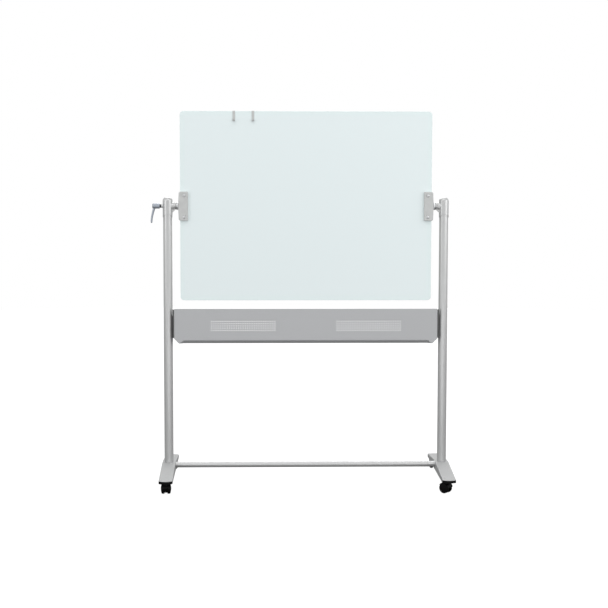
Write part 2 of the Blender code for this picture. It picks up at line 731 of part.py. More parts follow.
def lever_spring(lever):
    """The coil that draws the handle's teeth back into the insert after it has been pulled out."""
    wire = 0.0005
    turns = 3
    start = LEVER_START + 0.0142 + LEVER_LIFT
    end = LEVER_START + 0.0270 - GAP - 2 * wire
    steps = 8 * turns
    curve = bpy.data.curves.new("lever_spring", "CURVE")
    curve.dimensions = "3D"
    curve.bevel_depth = wire
    curve.bevel_resolution = 0
    curve.use_fill_caps = True
    spline = curve.splines.new("POLY")
    spline.points.add(steps)
    for i, point in enumerate(spline.points):
        angle = 2 * math.pi * turns * i / steps
        distance = start + (end - start) * i / steps
        point.co = (-distance, 0.0060 * math.cos(angle), 0.0060 * math.sin(angle), 1)
    curve.materials.append(zinc())
    obj = bpy.data.objects.new("lever_spring", curve)
    bpy.context.collection.objects.link(obj)
    place(obj, lever)


def arm_point(share):
    """Middle line and half sizes of the lever's arm at a share of its length from the hub."""
    out = LEVER_START + 0.0250 + 0.0150 * math.sin(share * math.pi / 2)
    down = -0.004 - 0.0780 * share
    half_width = 0.0062 - 0.0020 * share
    half_depth = 0.0068 - 0.0018 * share
    return out, down, half_width, half_depth


def lever_handle(lever):
    """A hollow hub with a curved arm that hangs down beside it."""
    hub = LEVER_START
    end = hub + LEVER_LENGTH
    shoulder = hub + 0.0130
    profile = [(hub, 0.0058), (hub, LEVER_RADIUS - 0.001), (hub + 0.001, LEVER_RADIUS)]
    profile += [(end - 0.003, LEVER_RADIUS), (end - 0.001, LEVER_RADIUS - 0.002)]
    profile += [(end, LEVER_RADIUS - 0.005), (end, 0), (end - 0.0015, 0)]
    profile += [(end - 0.0015, 0.0076), (shoulder, 0.0076), (shoulder, 0.0058)]
    profile = [(-distance, radius) for distance, radius in profile]
    handle = lathe("lever_handle", "x", profile, 20, lever_metal(), lever, closed=True)

    rings = []
    sections = 6
    sides = 10
    for k in range(sections + 1):
        share = k / sections
        out, down, half_width, half_depth = arm_point(share)
        turn = [2 * math.pi * i / sides for i in range(sides)]
        rings.append([(-out + half_width * math.cos(a), half_depth * math.sin(a), down) for a in turn])
    arm = loft("lever_arm", rings, lever_metal(), lever)
    cavity = rod("lever_cavity", "x", (0, 0), 0.0090, -end + 0.0015, -shoulder, lever, 20)
    combine(arm, "DIFFERENCE", [cavity])
    combine(handle, "UNION", [arm])


# ---- Casters -------------------------------------------------------------------------------------
def caster_body(name, swivel):
    """Stem, boss, the web between the wheels and the fender over them."""
    axle = (CASTER_TRAIL, WHEEL_RADIUS)
    stem_top = foot_top(CASTER_Y) - FOOT_ROOF - 0.0015
    boss_top = FOOT_BOTTOM - 0.0015
    profile = [(0.028, 0), (0.028, 0.0064), (boss_top, 0.0064), (boss_top, STEM_RADIUS)]
    profile += [(stem_top, STEM_RADIUS), (stem_top, 0)]
    body = lathe(f"{name}_caster_body", "z", profile, 12, black_plastic(), swivel)
    web_outline = arc(axle, 0.0262, 15, 165, 8) + arc(axle, 0.0200, 180, 360, 8)
    web = prism(f"{name}_web", "x", web_outline, -0.006, 0.006, zinc(), swivel)
    over = arc(axle, FENDER_RADIUS, *FENDER_ARC, 8)
    under = arc(axle, FENDER_RADIUS - 0.0014, *reversed(FENDER_ARC), 8)
    fender = prism(f"{name}_fender", "x", over + under, -0.0215, 0.0215, zinc(), swivel)
    combine(body, "UNION", [web, fender])
    hole = rod(f"{name}_axle_hole", "x", axle, AXLE_RADIUS + GAP, -0.01, 0.01, swivel)
    combine(body, "DIFFERENCE", [hole])


def caster_axle(name, swivel):
    half = WHEEL_OUTER - 0.003
    profile = [(-half, 0), (-half, AXLE_RADIUS), (half, AXLE_RADIUS), (half, 0)]
    at = (0, CASTER_TRAIL, WHEEL_RADIUS)
    lathe(f"{name}_caster_axle", "x", profile, 12, zinc(), swivel, at)


def caster_wheel(name, side, swivel):
    """One of the two wheels: a rounded tread and a domed outer face over a blind bore."""
    radius = WHEEL_RADIUS
    bore = AXLE_RADIUS + GAP
    blind = WHEEL_OUTER - 0.0022
    profile = [(blind, 0), (blind, bore), (WHEEL_INNER, bore), (WHEEL_INNER, 0.0225)]
    profile += [(0.0095, radius), (0.0175, radius), (0.0205, 0.0228), (0.0228, 0.0150)]
    profile += [(WHEEL_OUTER, 0)]
    sign = SIDES[side]
    profile = [(sign * x, r) for x, r in profile]
    at = (0, CASTER_TRAIL, WHEEL_RADIUS)
    lathe(f"{name}_{side}_wheel", "x", profile, 20, wheel_plastic(), swivel, at)


def caster(side, end, root):
    name = f"{side}_{end}"
    at = (SIDES[side] * POST_X, ENDS[end] * CASTER_Y, 0)
    swivel = empty(f"{name}_swivel", root, at, math.radians(CASTER_TURN[name]))
    caster_body(name, swivel)
    caster_axle(name, swivel)
    for wheel_side in SIDES:
        caster_wheel(name, wheel_side, swivel)


# ---- The whole object ----------------------------------------------------------------------------
def build_stand(root):
    for side in SIDES:
        foot(side, root)
        post(side, root)
        post_bolt(side, root)
        post_head(side, root)
        friction_washer(side, root)
        crossbar_bolt(side, root)
        tray_bracket(side, root)
        tray_screw(side, root)
        for end in ENDS:
            foot_end_cap(side, end, root)
            caster(side, end, root)
    crossbar(root)
    tray(root)


def build_board(root):
    board = empty("board_axis", root, (0, 0, PIVOT_Z))
    board_layers(board)
    for side in SIDES:
        board_pivot(side, board)
        for end in ENDS:
            bracket_shell(side, end, board)
        for level in ("upper", "lower"):
            bracket_screw(side, level, board)
    for name in HOOK_FROM_LEFT:
        flipchart_hook(name, board)


def build_lever(root):
    lever = empty("lever_axis", root, (-POST_X, 0, PIVOT_Z))
    lever_insert(lever)
    lever_screw(lever)
    lever_spring(lever)
    lever_handle(lever)


def main():
    clear_scene()
    root = empty("whiteboard", None, (MIDDLE_X, 0, 0))
    build_stand(root)
    build_board(root)
    build_lever(root)


main()
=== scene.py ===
"""Looks of the rolling whiteboard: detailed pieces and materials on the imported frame, light and camera.

Metres, +Z up, the front faces -Y. Places and sizes come from the frame's nodes and joints.
"""

import json
import math

import bmesh
import bpy
from mathutils import Matrix, Vector


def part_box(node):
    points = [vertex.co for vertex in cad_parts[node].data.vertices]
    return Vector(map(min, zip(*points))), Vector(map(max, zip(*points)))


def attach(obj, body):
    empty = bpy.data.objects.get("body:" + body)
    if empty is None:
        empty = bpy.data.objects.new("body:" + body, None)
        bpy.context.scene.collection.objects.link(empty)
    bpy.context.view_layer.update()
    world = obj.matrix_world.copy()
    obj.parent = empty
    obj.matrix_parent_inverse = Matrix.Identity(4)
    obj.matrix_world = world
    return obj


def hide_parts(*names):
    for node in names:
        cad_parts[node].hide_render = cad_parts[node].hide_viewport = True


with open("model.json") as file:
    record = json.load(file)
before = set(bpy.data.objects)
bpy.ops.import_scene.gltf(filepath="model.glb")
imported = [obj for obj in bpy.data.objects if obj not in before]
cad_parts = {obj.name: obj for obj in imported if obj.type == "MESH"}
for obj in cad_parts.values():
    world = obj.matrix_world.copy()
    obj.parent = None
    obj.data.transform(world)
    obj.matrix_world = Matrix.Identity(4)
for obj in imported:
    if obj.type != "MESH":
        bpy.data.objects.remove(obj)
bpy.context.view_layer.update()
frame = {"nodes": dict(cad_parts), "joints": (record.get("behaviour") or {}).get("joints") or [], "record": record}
JOINTS = {joint["name"]: joint for joint in frame["joints"]}
BOARD_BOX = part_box("front_glass")
BOARD_CENTRE = JOINTS["board_turn"]["pos_m"]

# ---- Sizes that the frame's boxes don't give ----
SIDES = {"left": -1, "right": 1}
ENDS = {"front": -1, "rear": 1}

GAP = 0.0003
ROUND = 64  # steps round a large turned piece
FINE = 32  # steps round a small one
SHARP_ANGLE = 35  # degrees

POST_WALL = 0.0020
POST_PLATE = 0.006  # thickness of the plate that closes the post's lower end
POST_BOLT_HOLE = 0.0053
CROSSBAR_BOLT_HOLE = 0.0043
BOLT_SOCKET = 0.0035
HEAD_ARCH = 0.0150
HEAD_DOME = 0.0170
HEAD_CROWN = 0.0008  # rise of the head's flat top towards its middle
RIM_SPARE = 0.0060  # cast on below the head's rim and cut off again, so that the rim stays sharp
BOSS_RADIUS = 0.0180
BOSS_END = 0.0330
NECK_RADIUS = 0.0155
PIVOT_RADIUS = 0.0080
STUD_RADIUS = 0.0040
STUD_HOLE_END = 0.0100
LEVER_BOSS_RADIUS = 0.0085
LEVER_BOSS_END = 0.0310

GLASS_CORNER = 0.018
BRACKET_SCREW_INSET = 0.0195
BRACKET_SCREW_Z = 0.052
RECESS_RADIUS = 0.0090
RECESS_DEPTH = 0.0030
GLASS_HOLE = 0.0038
SCREW_HOLE = 0.0034
SCREW_SHANK = 0.0030
GLASS_EDGE = 0.0009
SHELL_EDGE = 0.0030
SHELL_BOW = 0.0030  # of its outer edge, seen from the front
SHELL_FALL = 0.0022  # of its face, towards the outer edge

TRAY_WALL = 0.0015
TRAY_CORNER = 0.024
TRAY_BEND = 0.0145
TRAY_BEND_ENDS = (0.030, 0.047)  # from a tray end: where the bend begins and where it is full
TRAY_FOLD = 0.0030
TRAY_BACK = 0.0395
TRAY_PLATE_REAR = 0.762  # height of the spacer plate's rear corner, which is lower than its front
HOLE_RADIUS = 0.0023
HOLE_PITCH = 0.0110
HOLE_ROWS = 5
HOLE_COLUMNS = 29
HOLE_TOP = 0.0610  # from the tray's top edge to the upper row of holes
HOLE_ZONE = 0.3055  # from the tray's middle to the middle of each zone

FOOT_FLAT = 0.032
FOOT_TIP_ROUND = 0.012
FOOT_TIP_TOP = 0.0150  # the tip's upper face above the foot's lower edge
FOOT_EDGE = 0.0028
FOOT_SHEET = 0.0022
END_CAP_DEPTH = 0.010
SOCKET_RADIUS = 0.0095
STEM_RADIUS = 0.0055

WHEEL_RADIUS = 0.025
WHEEL_OUTER = 0.0250
WHEEL_INNER = 0.0070
CASTER_TRAIL = 0.016
AXLE = (CASTER_TRAIL, WHEEL_RADIUS)  # as (y, z) in the caster
AXLE_HOLE = 0.0033
HOOD_RADII = (0.0271, 0.0257)
HOOD_ENDS = (32, 170)  # degrees round the axle, from the rear
HOOD_HALF_WIDTH = 0.0215

LEVER_START = 0.0380  # from the post's axis to the lever's hub
LEVER_LENGTH = 0.0360
LEVER_RADIUS = 0.0125
LEVER_SHOULDER = 0.0130  # from the hub's inner end to its wider hollow
LEVER_BORE = 0.0058
LEVER_HOLLOW = 0.0076
LEVER_LID = 0.0015
ARM_OUT = 0.0250  # from the hub's inner end to where the arm leaves it
ARM_SWING = 0.0150
ARM_TOP = -0.004
ARM_LENGTH = 0.0780
ARM_STRAIGHT = 0.945  # the share of the arm before its rounded tip

HOOK_SHEET = 0.0016
HOOK_LENGTH = 0.050
HOOK_BACK = 0.030

# ---- Camera and light ------------------------
CAMERA_PLACE = (-0.2246, -8.0113, 1.6351)
CAMERA_LENS = 97.7
CAMERA_YAW = 1.7186  # degrees towards +X
CAMERA_PITCH = 5.4129  # degrees down
CAMERA_ROLL = 0.1166
STUDIO_FRONT = 1.02  # the studio's brightness on the camera's side
STUDIO_BACK = 0.70
FLOOR_RADIUS = 9.0


# ---- Mesh helpers ----------------------------
def add_object(name, data):
    added = bpy.data.objects.new(name, data)
    bpy.context.collection.objects.link(added)
    return added


def add_piece(name, bm, body=None, slot=None, look=None):
    """Turns a bmesh into a smooth piece that rides on a body of the frame."""
    bmesh.ops.remove_doubles(bm, verts=bm.verts, dist=1e-6)
    bmesh.ops.recalc_face_normals(bm, faces=bm.faces)
    mesh = bpy.data.meshes.new(name)
    bm.to_mesh(mesh)
    bm.free()
    mesh.shade_smooth()
    if slot:
        mesh.materials.append(look or LOOKS[slot])
    piece = add_object(name, mesh)
    if body:
        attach(piece, body)
    return piece


def loft_mesh(rings, caps=True):
    """Joins rings of equally many points, with a flat face at both ends."""
    bm = bmesh.new()
    rows = [[bm.verts.new(point) for point in ring] for ring in rings]
    count = len(rows[0])
    for row, following in zip(rows, rows[1:]):
        for i in range(count):
            j = (i + 1) % count
            bm.faces.new((row[i], row[j], following[j], following[i]))
    if caps:
        bm.faces.new(rows[0])
        bm.faces.new(rows[-1])
    return bm


def lathe_mesh(axis, profile, steps=ROUND, at=(0, 0, 0), closed=False):
    """Turns a profile of (place along the axis, radius) points about the X, Y or Z axis."""
    bm = bmesh.new()
    rows = []
    for place, radius in profile:
        if radius == 0:
            rows.append([bm.verts.new(on_axis(axis, place, 0, 0, at))])
            continue
        turn = [2 * math.pi * i / steps for i in range(steps)]
        ring = [on_axis(axis, place, radius * math.cos(a), radius * math.sin(a), at) for a in turn]
        rows.append([bm.verts.new(point) for point in ring])
    pairs = list(zip(rows, rows[1:]))
    if closed:
        pairs.append((rows[-1], rows[0]))
    for near, far in pairs:
        if len(near) == 1 and len(far) == 1:
            continue
        for i in range(steps):
            j = (i + 1) % steps
            if len(near) == 1:
                bm.faces.new((near[0], far[j], far[i]))
            elif len(far) == 1:
                bm.faces.new((near[i], near[j], far[0]))
            else:
                bm.faces.new((near[i], near[j], far[j], far[i]))
    return bm


def on_axis(axis, place, a, b, at):
    """A point beside an axis, in X, Y, Z."""
    point = {"x": (place, a, b), "y": (a, place, b), "z": (a, b, place)}[axis]
    return tuple(p + q for p, q in zip(point, at))


def bar_mesh(axis, centre, radius, start, end, steps=ROUND):
    """A plain round bar, to cut or to join with."""
    start, end = sorted((start, end))
    at = {"x": (0, *centre), "y": (centre[0], 0, centre[1]), "z": (*centre, 0)}[axis]
    profile = [(start, 0), (start, radius), (end, radius), (end, 0)]
    return lathe_mesh(axis, profile, steps, at)


def tube_mesh(axis, at, inner, outer, start, end, steps=ROUND):
    profile = [(start, inner), (start, outer), (end, outer), (end, inner)]
    return lathe_mesh(axis, profile, steps, at, closed=True)


def rectangle(left, right, low, high):
    return [(left, low), (right, low), (right, high), (left, high)]


def arc(centre, radius, start, end, steps):
    """Points on a circle from one angle to another, in degrees."""
    angles = [math.radians(start + (end - start) * i / steps) for i in range(steps + 1)]
    return [(centre[0] + radius * math.cos(a), centre[1] + radius * math.sin(a)) for a in angles]


def circle(centre, radius, steps):
    return arc(centre, radius, 0, 360 * (steps - 1) / steps, steps - 1)


def soften(corners, steps, closed=True):
    """An outline from (x, y, radius) corners, with an arc in place of each corner that has one."""
    outline = []
    last_index = len(corners) - 1
    for i, (x, y, radius) in enumerate(corners):
        here = Vector((x, y))
        if radius == 0 or (not closed and i in (0, last_index)):
            outline.append((x, y))
            continue
        before = (Vector(corners[i - 1][:2]) - here).normalized()
        after = (Vector(corners[(i + 1) % len(corners)][:2]) - here).normalized()
        half = before.angle(after) / 2
        middle = here + (before + after).normalized() * radius / math.sin(half)
        first = here + before * radius / math.tan(half) - middle
        last = here + after * radius / math.tan(half) - middle
        sweep = first.angle_signed(last)
        for k in range(steps + 1):
            outline.append(tuple(middle + Matrix.Rotation(-sweep * k / steps, 2) @ first))
    return outline


def edge_steps(radius, steps):
    """Pairs of insets from a side and a face that round the edge between them."""
    turns = [math.radians(90 * k / steps) for k in range(steps + 1)]
    return [(radius * (1 - math.cos(turn)), radius * (1 - math.sin(turn))) for turn in turns]


def bevel(piece, width, segments, angle):
    edges = piece.modifiers.new("edges", "BEVEL")
    edges.width = width
    edges.segments = segments
    edges.limit_method = "ANGLE"
    edges.angle_limit = math.radians(angle)


def round_off(piece, width, segments=2, angle=30):
    """Rounds a piece's edges and keeps its flat faces flat in the shading."""
    bevel(piece, width, segments, angle)
    flatten(piece)


def thicken(piece, thickness):
    """Gives an open sheet its thickness, towards the inside."""
    wall = piece.modifiers.new("sheet", "SOLIDIFY")
    wall.thickness = thickness
    wall.offset = -1.0
    wall.use_even_offset = True


def flatten(piece):
    """Keeps flat faces flat in the shading, and splits it at edges that no bevel rounds."""
    if not any(modifier.type == "BEVEL" for modifier in piece.modifiers):
        piece.data.set_sharp_from_angle(angle=math.radians(SHARP_ANGLE))
    weighted = piece.modifiers.new("normals", "WEIGHTED_NORMAL")
    weighted.mode = "FACE_AREA"
    weighted.keep_sharp = True


def tool(bm):
    """A shape that only cuts or joins others."""
    shape = add_piece("tool", bm)
    shape.hide_render = True
    shape.display_type = "WIRE"
    return shape


def combine(piece, operation, shapes):
    """Applies Booleans one after the other, and removes their shapes."""
    for shape in shapes:
        modifier = piece.modifiers.new("combine", "BOOLEAN")
        modifier.operation = operation
        modifier.solver = "EXACT"
        modifier.object = shape
    apply_modifiers(piece)
    for shape in shapes:
        bpy.data.objects.remove(shape)


def apply_modifiers(piece):
    bpy.context.view_layer.update()
    evaluated = piece.evaluated_get(bpy.context.evaluated_depsgraph_get())
    mesh = bpy.data.meshes.new_from_object(evaluated)
    mesh.name = piece.name
    piece.modifiers.clear()
    piece.data = mesh


def cast(piece, voxel, shapes):
    """Melts shapes into one casting, with small fillets in its corners and soft edges."""
    bm = bmesh.new()
    for shape in (piece, *shapes):
        bm.from_mesh(shape.data)
    bm.to_mesh(piece.data)
    bm.free()
    for shape in shapes:
        bpy.data.objects.remove(shape)
    remesh = piece.modifiers.new("cast", "REMESH")
    remesh.mode = "VOXEL"
    remesh.voxel_size = voxel
    remesh.use_smooth_shade = True
    smooth = piece.modifiers.new("smooth", "SMOOTH")
    smooth.factor = 0.5
    smooth.iterations = 6
    fewer = piece.modifiers.new("fewer", "DECIMATE")
    fewer.ratio = 0.35
    look = piece.data.materials[0]
    apply_modifiers(piece)
    piece.data.materials.clear()
    piece.data.materials.append(look)
    piece.data.shade_smooth()


def middle(box):
    return tuple((low + high) / 2 for low, high in zip(*box))


def half_size(box, axis):
    """Half of a box's size along axis 0, 1 or 2, which is a round piece's radius."""
    return (box[1][axis] - box[0][axis]) / 2


# ---- Materials -------------------------------
def new_material(name, colour, metallic, roughness):
    made = bpy.data.materials.new(name)
    made.use_nodes = True
    shader = made.node_tree.nodes["Principled BSDF"]
    shader.inputs["Base Color"].default_value = (*colour, 1.0)
    shader.inputs["Metallic"].default_value = metallic
    shader.inputs["Roughness"].default_value = roughness
    return made, shader


def node(made, kind, **values):
    """Adds a shader node, and sets its inputs and other values by name."""
    added = made.node_tree.nodes.new(kind)
    for key, value in values.items():
        if key in added.inputs:
            added.inputs[key].default_value = value
        else:
            setattr(added, key, value)
    return added


def link(made, start, end):
    made.node_tree.links.new(start, end)


def maths(made, operation, *values):
    """A Math node whose inputs are numbers or other nodes' outputs."""
    added = node(made, "ShaderNodeMath", operation=operation)
    for socket, value in zip(added.inputs, values):
        if isinstance(value, float):
            socket.default_value = value
        else:
            link(made, value, socket)
    return added.outputs[0]


def coordinates(made, stretch=(1, 1, 1)):
    """The piece's own coordinates, which move with it."""
    source = node(made, "ShaderNodeTexCoord")
    mapping = node(made, "ShaderNodeMapping", Scale=stretch)
    link(made, source.outputs["Object"], mapping.inputs["Vector"])
    return mapping.outputs["Vector"]


def noise(made, vector, scale, detail=2.0, rough=0.5):
    texture = node(made, "ShaderNodeTexNoise", Scale=scale, Detail=detail, Roughness=rough)
    link(made, vector, texture.inputs["Vector"])
    return texture.outputs["Fac"]


def span(made, value, low, high, start=0.0, end=1.0):
    """Maps a value from start..end to low..high."""
    ends = {"From Min": start, "From Max": end, "To Min": low, "To Max": high}
    mapped = node(made, "ShaderNodeMapRange", **ends)
    link(made, value, mapped.inputs["Value"])
    return mapped.outputs["Result"]


def blend_colours(made, shader, factor, first, second):
    """The base colour goes from the first colour to the second as the factor goes from 0 to 1."""
    mix = node(made, "ShaderNodeMix", data_type="RGBA")
    sockets = [socket for socket in mix.inputs if socket.type == "RGBA"]
    for socket, colour in zip(sockets, (first, second)):
        socket.default_value = (*colour, 1.0)
    link(made, factor, mix.inputs["Factor"])
    output = [socket for socket in mix.outputs if socket.type == "RGBA"][0]
    link(made, output, shader.inputs["Base Color"])


def vary_colour(made, shader, value, low, high):
    """Multiplies the base colour by low..high as the value goes from 0.3 to 0.7."""
    colour = tuple(shader.inputs["Base Color"].default_value)[:3]
    factor = span(made, value, 0.0, 1.0, 0.3, 0.7)
    brighter = [min(1.0, c * high) for c in colour]
    blend_colours(made, shader, factor, [c * low for c in colour], brighter)


def vary_roughness(made, shader, value, low, high):
    link(made, span(made, value, low, high), shader.inputs["Roughness"])


def bump(made, shader, value, distance, strength):
    bumped = node(made, "ShaderNodeBump", Strength=strength, Distance=distance)
    link(made, value, bumped.inputs["Height"])
    link(made, bumped.outputs["Normal"], shader.inputs["Normal"])


def powder_coat(name, colour, metallic, roughness):
    """Satin metallic paint: a fine orange peel, tiny bright flakes and faint handling marks."""
    made, shader = new_material(name, colour, metallic, roughness)
    vector = coordinates(made)
    flakes = noise(made, vector, 4200.0, 1.0)
    vary_colour(made, shader, flakes, 0.93, 1.07)
    marks = noise(made, vector, 14.0, 5.0, 0.6)
    vary_roughness(made, shader, marks, roughness - 0.05, roughness + 0.06)
    bump(made, shader, noise(made, vector, 700.0, 2.0), 0.00006, 0.5)
    return made


def moulded(name, colour, roughness, gloss=0.5):
    """Moulded plastic with a spark-eroded grain."""
    made, shader = new_material(name, colour, 0.0, roughness)
    vector = coordinates(made)
    texture = noise(made, vector, 1600.0, 3.0, 0.6)
    vary_colour(made, shader, noise(made, vector, 40.0, 4.0), 0.95, 1.05)
    shader.inputs["Specular IOR Level"].default_value = gloss
    vary_roughness(made, shader, texture, roughness - 0.06, roughness + 0.06)
    bump(made, shader, texture, 0.00008, 0.6)
    return made


def wheel_rubber(name, colour, roughness):
    """Hard wheel plastic, a little dusty and scuffed."""
    made, shader = new_material(name, colour, 0.0, roughness)
    vector = coordinates(made)
    dust = noise(made, vector, 120.0, 6.0, 0.7)
    vary_colour(made, shader, dust, 0.75, 1.9)
    shader.inputs["Specular IOR Level"].default_value = 0.08
    vary_roughness(made, shader, dust, roughness - 0.08, roughness + 0.15)
    bump(made, shader, noise(made, vector, 900.0, 3.0), 0.00008, 0.6)
    return made


def plated(name, colour, roughness):
    """Zinc plate with fine turning marks."""
    made, shader = new_material(name, colour, 0.9, roughness)
    vector = coordinates(made, (1.0, 6.0, 6.0))
    marks = noise(made, vector, 500.0, 3.0)
    vary_colour(made, shader, marks, 0.9, 1.08)
    vary_roughness(made, shader, marks, roughness - 0.06, roughness + 0.08)
    bump(made, shader, marks, 0.00002, 0.4)
    return made


def fibre_board(name, colour):
    made, shader = new_material(name, colour, 0.0, 0.85)
    fibres = noise(made, coordinates(made, (1.0, 5.0, 1.0)), 350.0, 5.0, 0.7)
    vary_colour(made, shader, fibres, 0.8, 1.15)
    bump(made, shader, fibres, 0.0002, 0.6)
    return made


def glass_face(name, colour, edge_colour, reach):
    """Polished glass over a pale coating, a little greener towards its edges."""
    made, shader = new_material(name, colour, 0.0, 0.30)
    source = node(made, "ShaderNodeTexCoord")
    parts = node(made, "ShaderNodeSeparateXYZ")
    link(made, source.outputs["Object"], parts.inputs[0])
    distances = []
    for axis in (0, 2):
        offset = maths(made, "SUBTRACT", parts.outputs[axis], BOARD_CENTRE[axis])
        size = maths(made, "ABSOLUTE", offset)
        distances.append(maths(made, "SUBTRACT", half_size(BOARD_BOX, axis), size))
    factor = span(made, maths(made, "MINIMUM", *distances), 0.0, 1.0, 0.0, reach)
    blend_colours(made, shader, factor, edge_colour, colour)
    shader.inputs["Coat Weight"].default_value = 1.0
    shader.inputs["Coat IOR"].default_value = 1.52
    smears = noise(made, coordinates(made), 6.0, 5.0, 0.6)
    link(made, span(made, smears, 0.01, 0.05), shader.inputs["Coat Roughness"])
    shader.inputs["Specular IOR Level"].default_value = 0.2
    return made


def glass_rim(name, colour):
    """The green-tinted polished edge of the glass."""
    made, shader = new_material(name, colour, 0.0, 0.12)
    vary_colour(made, shader, noise(made, coordinates(made), 60.0, 3.0), 0.94, 1.05)
    shader.inputs["Coat Weight"].default_value = 0.6
    return made


LOOKS = {
    "silver_paint": powder_coat("silver_paint", (0.555, 0.56, 0.56), 0.58, 0.34),
    # the feet carry silver_paint; this darker copy of it is painted shade on their upward faces
    "shaded_silver_paint": powder_coat("shaded_silver_paint", (0.425, 0.43, 0.43), 0.36, 0.52),
    "tray_paint": powder_coat("tray_paint", (0.455, 0.462, 0.473), 0.40, 0.45),
    "grey_plastic": moulded("grey_plastic", (0.535, 0.545, 0.54), 0.50),
    # dark_plastic also colours the tray brackets, where its dark tone is painted shadow in the gap at each tray
    # end
    "dark_plastic": moulded("dark_plastic", (0.080, 0.081, 0.083), 0.55),
    "black_plastic": moulded("black_plastic", (0.0035, 0.0035, 0.004), 0.42, gloss=0.12),
    "wheel_plastic": wheel_rubber("wheel_plastic", (0.0022, 0.0022, 0.0024), 0.50),
    "zinc": plated("zinc", (0.68, 0.69, 0.70), 0.32),
    # near black: on the lever insert this paints the dark ring of shade in the gap between lever hub and head boss
    "black_steel": powder_coat("black_steel", (0.05, 0.05, 0.055), 0.60, 0.40),
    "lever_metal": powder_coat("lever_metal", (0.35, 0.38, 0.43), 0.55, 0.36),
    "board_glass": glass_face("board_glass", (0.775, 0.855, 0.865), (0.755, 0.857, 0.857), 0.030),
    "sheet_steel": plated("sheet_steel", (0.60, 0.61, 0.62), 0.35),
    "core_board": fibre_board("core_board", (0.50, 0.44, 0.35)),
}
GLASS_RIM = glass_rim("glass_rim", (0.47, 0.63, 0.60))


# ---- Stand -----------------------------------
def post(side):
    """A tube with a plate in its lower end."""
    name = f"{side}_post"
    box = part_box(name)
    x, y, _ = middle(box)
    bottom, top = box[0][2], box[1][2]
    radius = half_size(box, 0)
    inner = radius - POST_WALL
    plate = bottom + POST_PLATE
    profile = [(bottom, POST_BOLT_HOLE), (bottom, radius), (top, radius), (top, inner)]
    profile += [(plate, inner), (plate, POST_BOLT_HOLE)]
    bm = lathe_mesh("z", profile, ROUND, (x, y, 0), closed=True)
    piece = add_piece(f"{name}_tube", bm, "stand", "silver_paint")
    round_off(piece, 0.0004)
    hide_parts(name)


def post_axis(side):
    return middle(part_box(f"{side}_post"))[0]


def reach_of(side, name):
    """How far a node's nearer and farther ends lie from the post's axis, along X."""
    return sorted(abs(corner[0] - post_axis(side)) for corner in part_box(name))


def pivot_tool(side, radius, start, end, steps=ROUND):
    """A round tool on the pivot's axis, between places measured from the post towards the board."""
    places = [post_axis(side) - SIDES[side] * place for place in (start, end)]
    return tool(bar_mesh("x", (0, BOARD_CENTRE[2]), radius, *places, steps))


def gusset(side):
    """The rib under the head's boss, as a tool."""
    end = BOSS_END + 0.0055
    outline = [(0.014, -0.040), (end, -0.0165), (end, -0.006), (0.014, -0.006)]
    outline = [(post_axis(side) - SIDES[side] * a, BOARD_CENTRE[2] + b) for a, b in outline]
    return tool(loft_mesh([[(a, y, b) for a, b in outline] for y in (-0.009, 0.009)]))


def post_head(side):
    """A casting: domed sleeve, arched rim, boss and neck for the pivot, and a gusset under them."""
    name = f"{side}_post_head"
    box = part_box(name)
    post_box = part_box(f"{side}_post")
    x, y, _ = middle(post_box)
    rim, top = box[0][2], box[1][2]
    radius = half_size(box, 1)
    dome = arc((top - HEAD_CROWN - HEAD_DOME, radius - HEAD_DOME), HEAD_DOME, 90, 0, 8)
    below = rim - RIM_SPARE
    profile = [(below, 0), (below, radius), *dome, (top, 0)]
    bm = lathe_mesh("z", profile, ROUND, (x, y, 0))
    piece = add_piece(f"{name}_casting", bm, "stand", "silver_paint")
    added = [
        pivot_tool(side, BOSS_RADIUS, 0.010, BOSS_END),
        pivot_tool(side, NECK_RADIUS, 0.012, reach_of(side, name)[1]),
        gusset(side),
    ]
    if side == "left":
        added.append(pivot_tool(side, LEVER_BOSS_RADIUS, -LEVER_BOSS_END, -0.018))
    cast(piece, 0.0006, added)

    half = radius - 0.0012
    arch_radius = (half**2 + HEAD_ARCH**2) / (2 * HEAD_ARCH)
    arch_centre = (x, rim + HEAD_ARCH - arch_radius)
    sleeve = half_size(post_box, 0) + GAP
    removed = [
        tool(bar_mesh("z", (x, y), 1.5 * radius, below - RIM_SPARE, rim)),
        tool(bar_mesh("z", (x, y), sleeve, rim - 0.01, post_box[1][2] + GAP)),
        pivot_tool(side, PIVOT_RADIUS + GAP, -0.014, 0.060),
        tool(bar_mesh("y", arch_centre, arch_radius, -0.04, 0.04, 2 * ROUND)),
    ]
    if side == "left":
        removed.append(pivot_tool(side, STUD_RADIUS + GAP, -0.040, -0.010, FINE))
    combine(piece, "DIFFERENCE", removed)
    flatten(piece)
    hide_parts(name)


def friction_washer(side):
    name = f"{side}_friction_washer"
    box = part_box(name)
    at = (0, 0, BOARD_CENTRE[2])
    bm = tube_mesh("x", at, PIVOT_RADIUS + GAP, half_size(box, 1), box[0][0], box[1][0])
    piece = add_piece(f"{name}_ring", bm, "stand", "dark_plastic")
    round_off(piece, 0.0003)
    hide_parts(name)


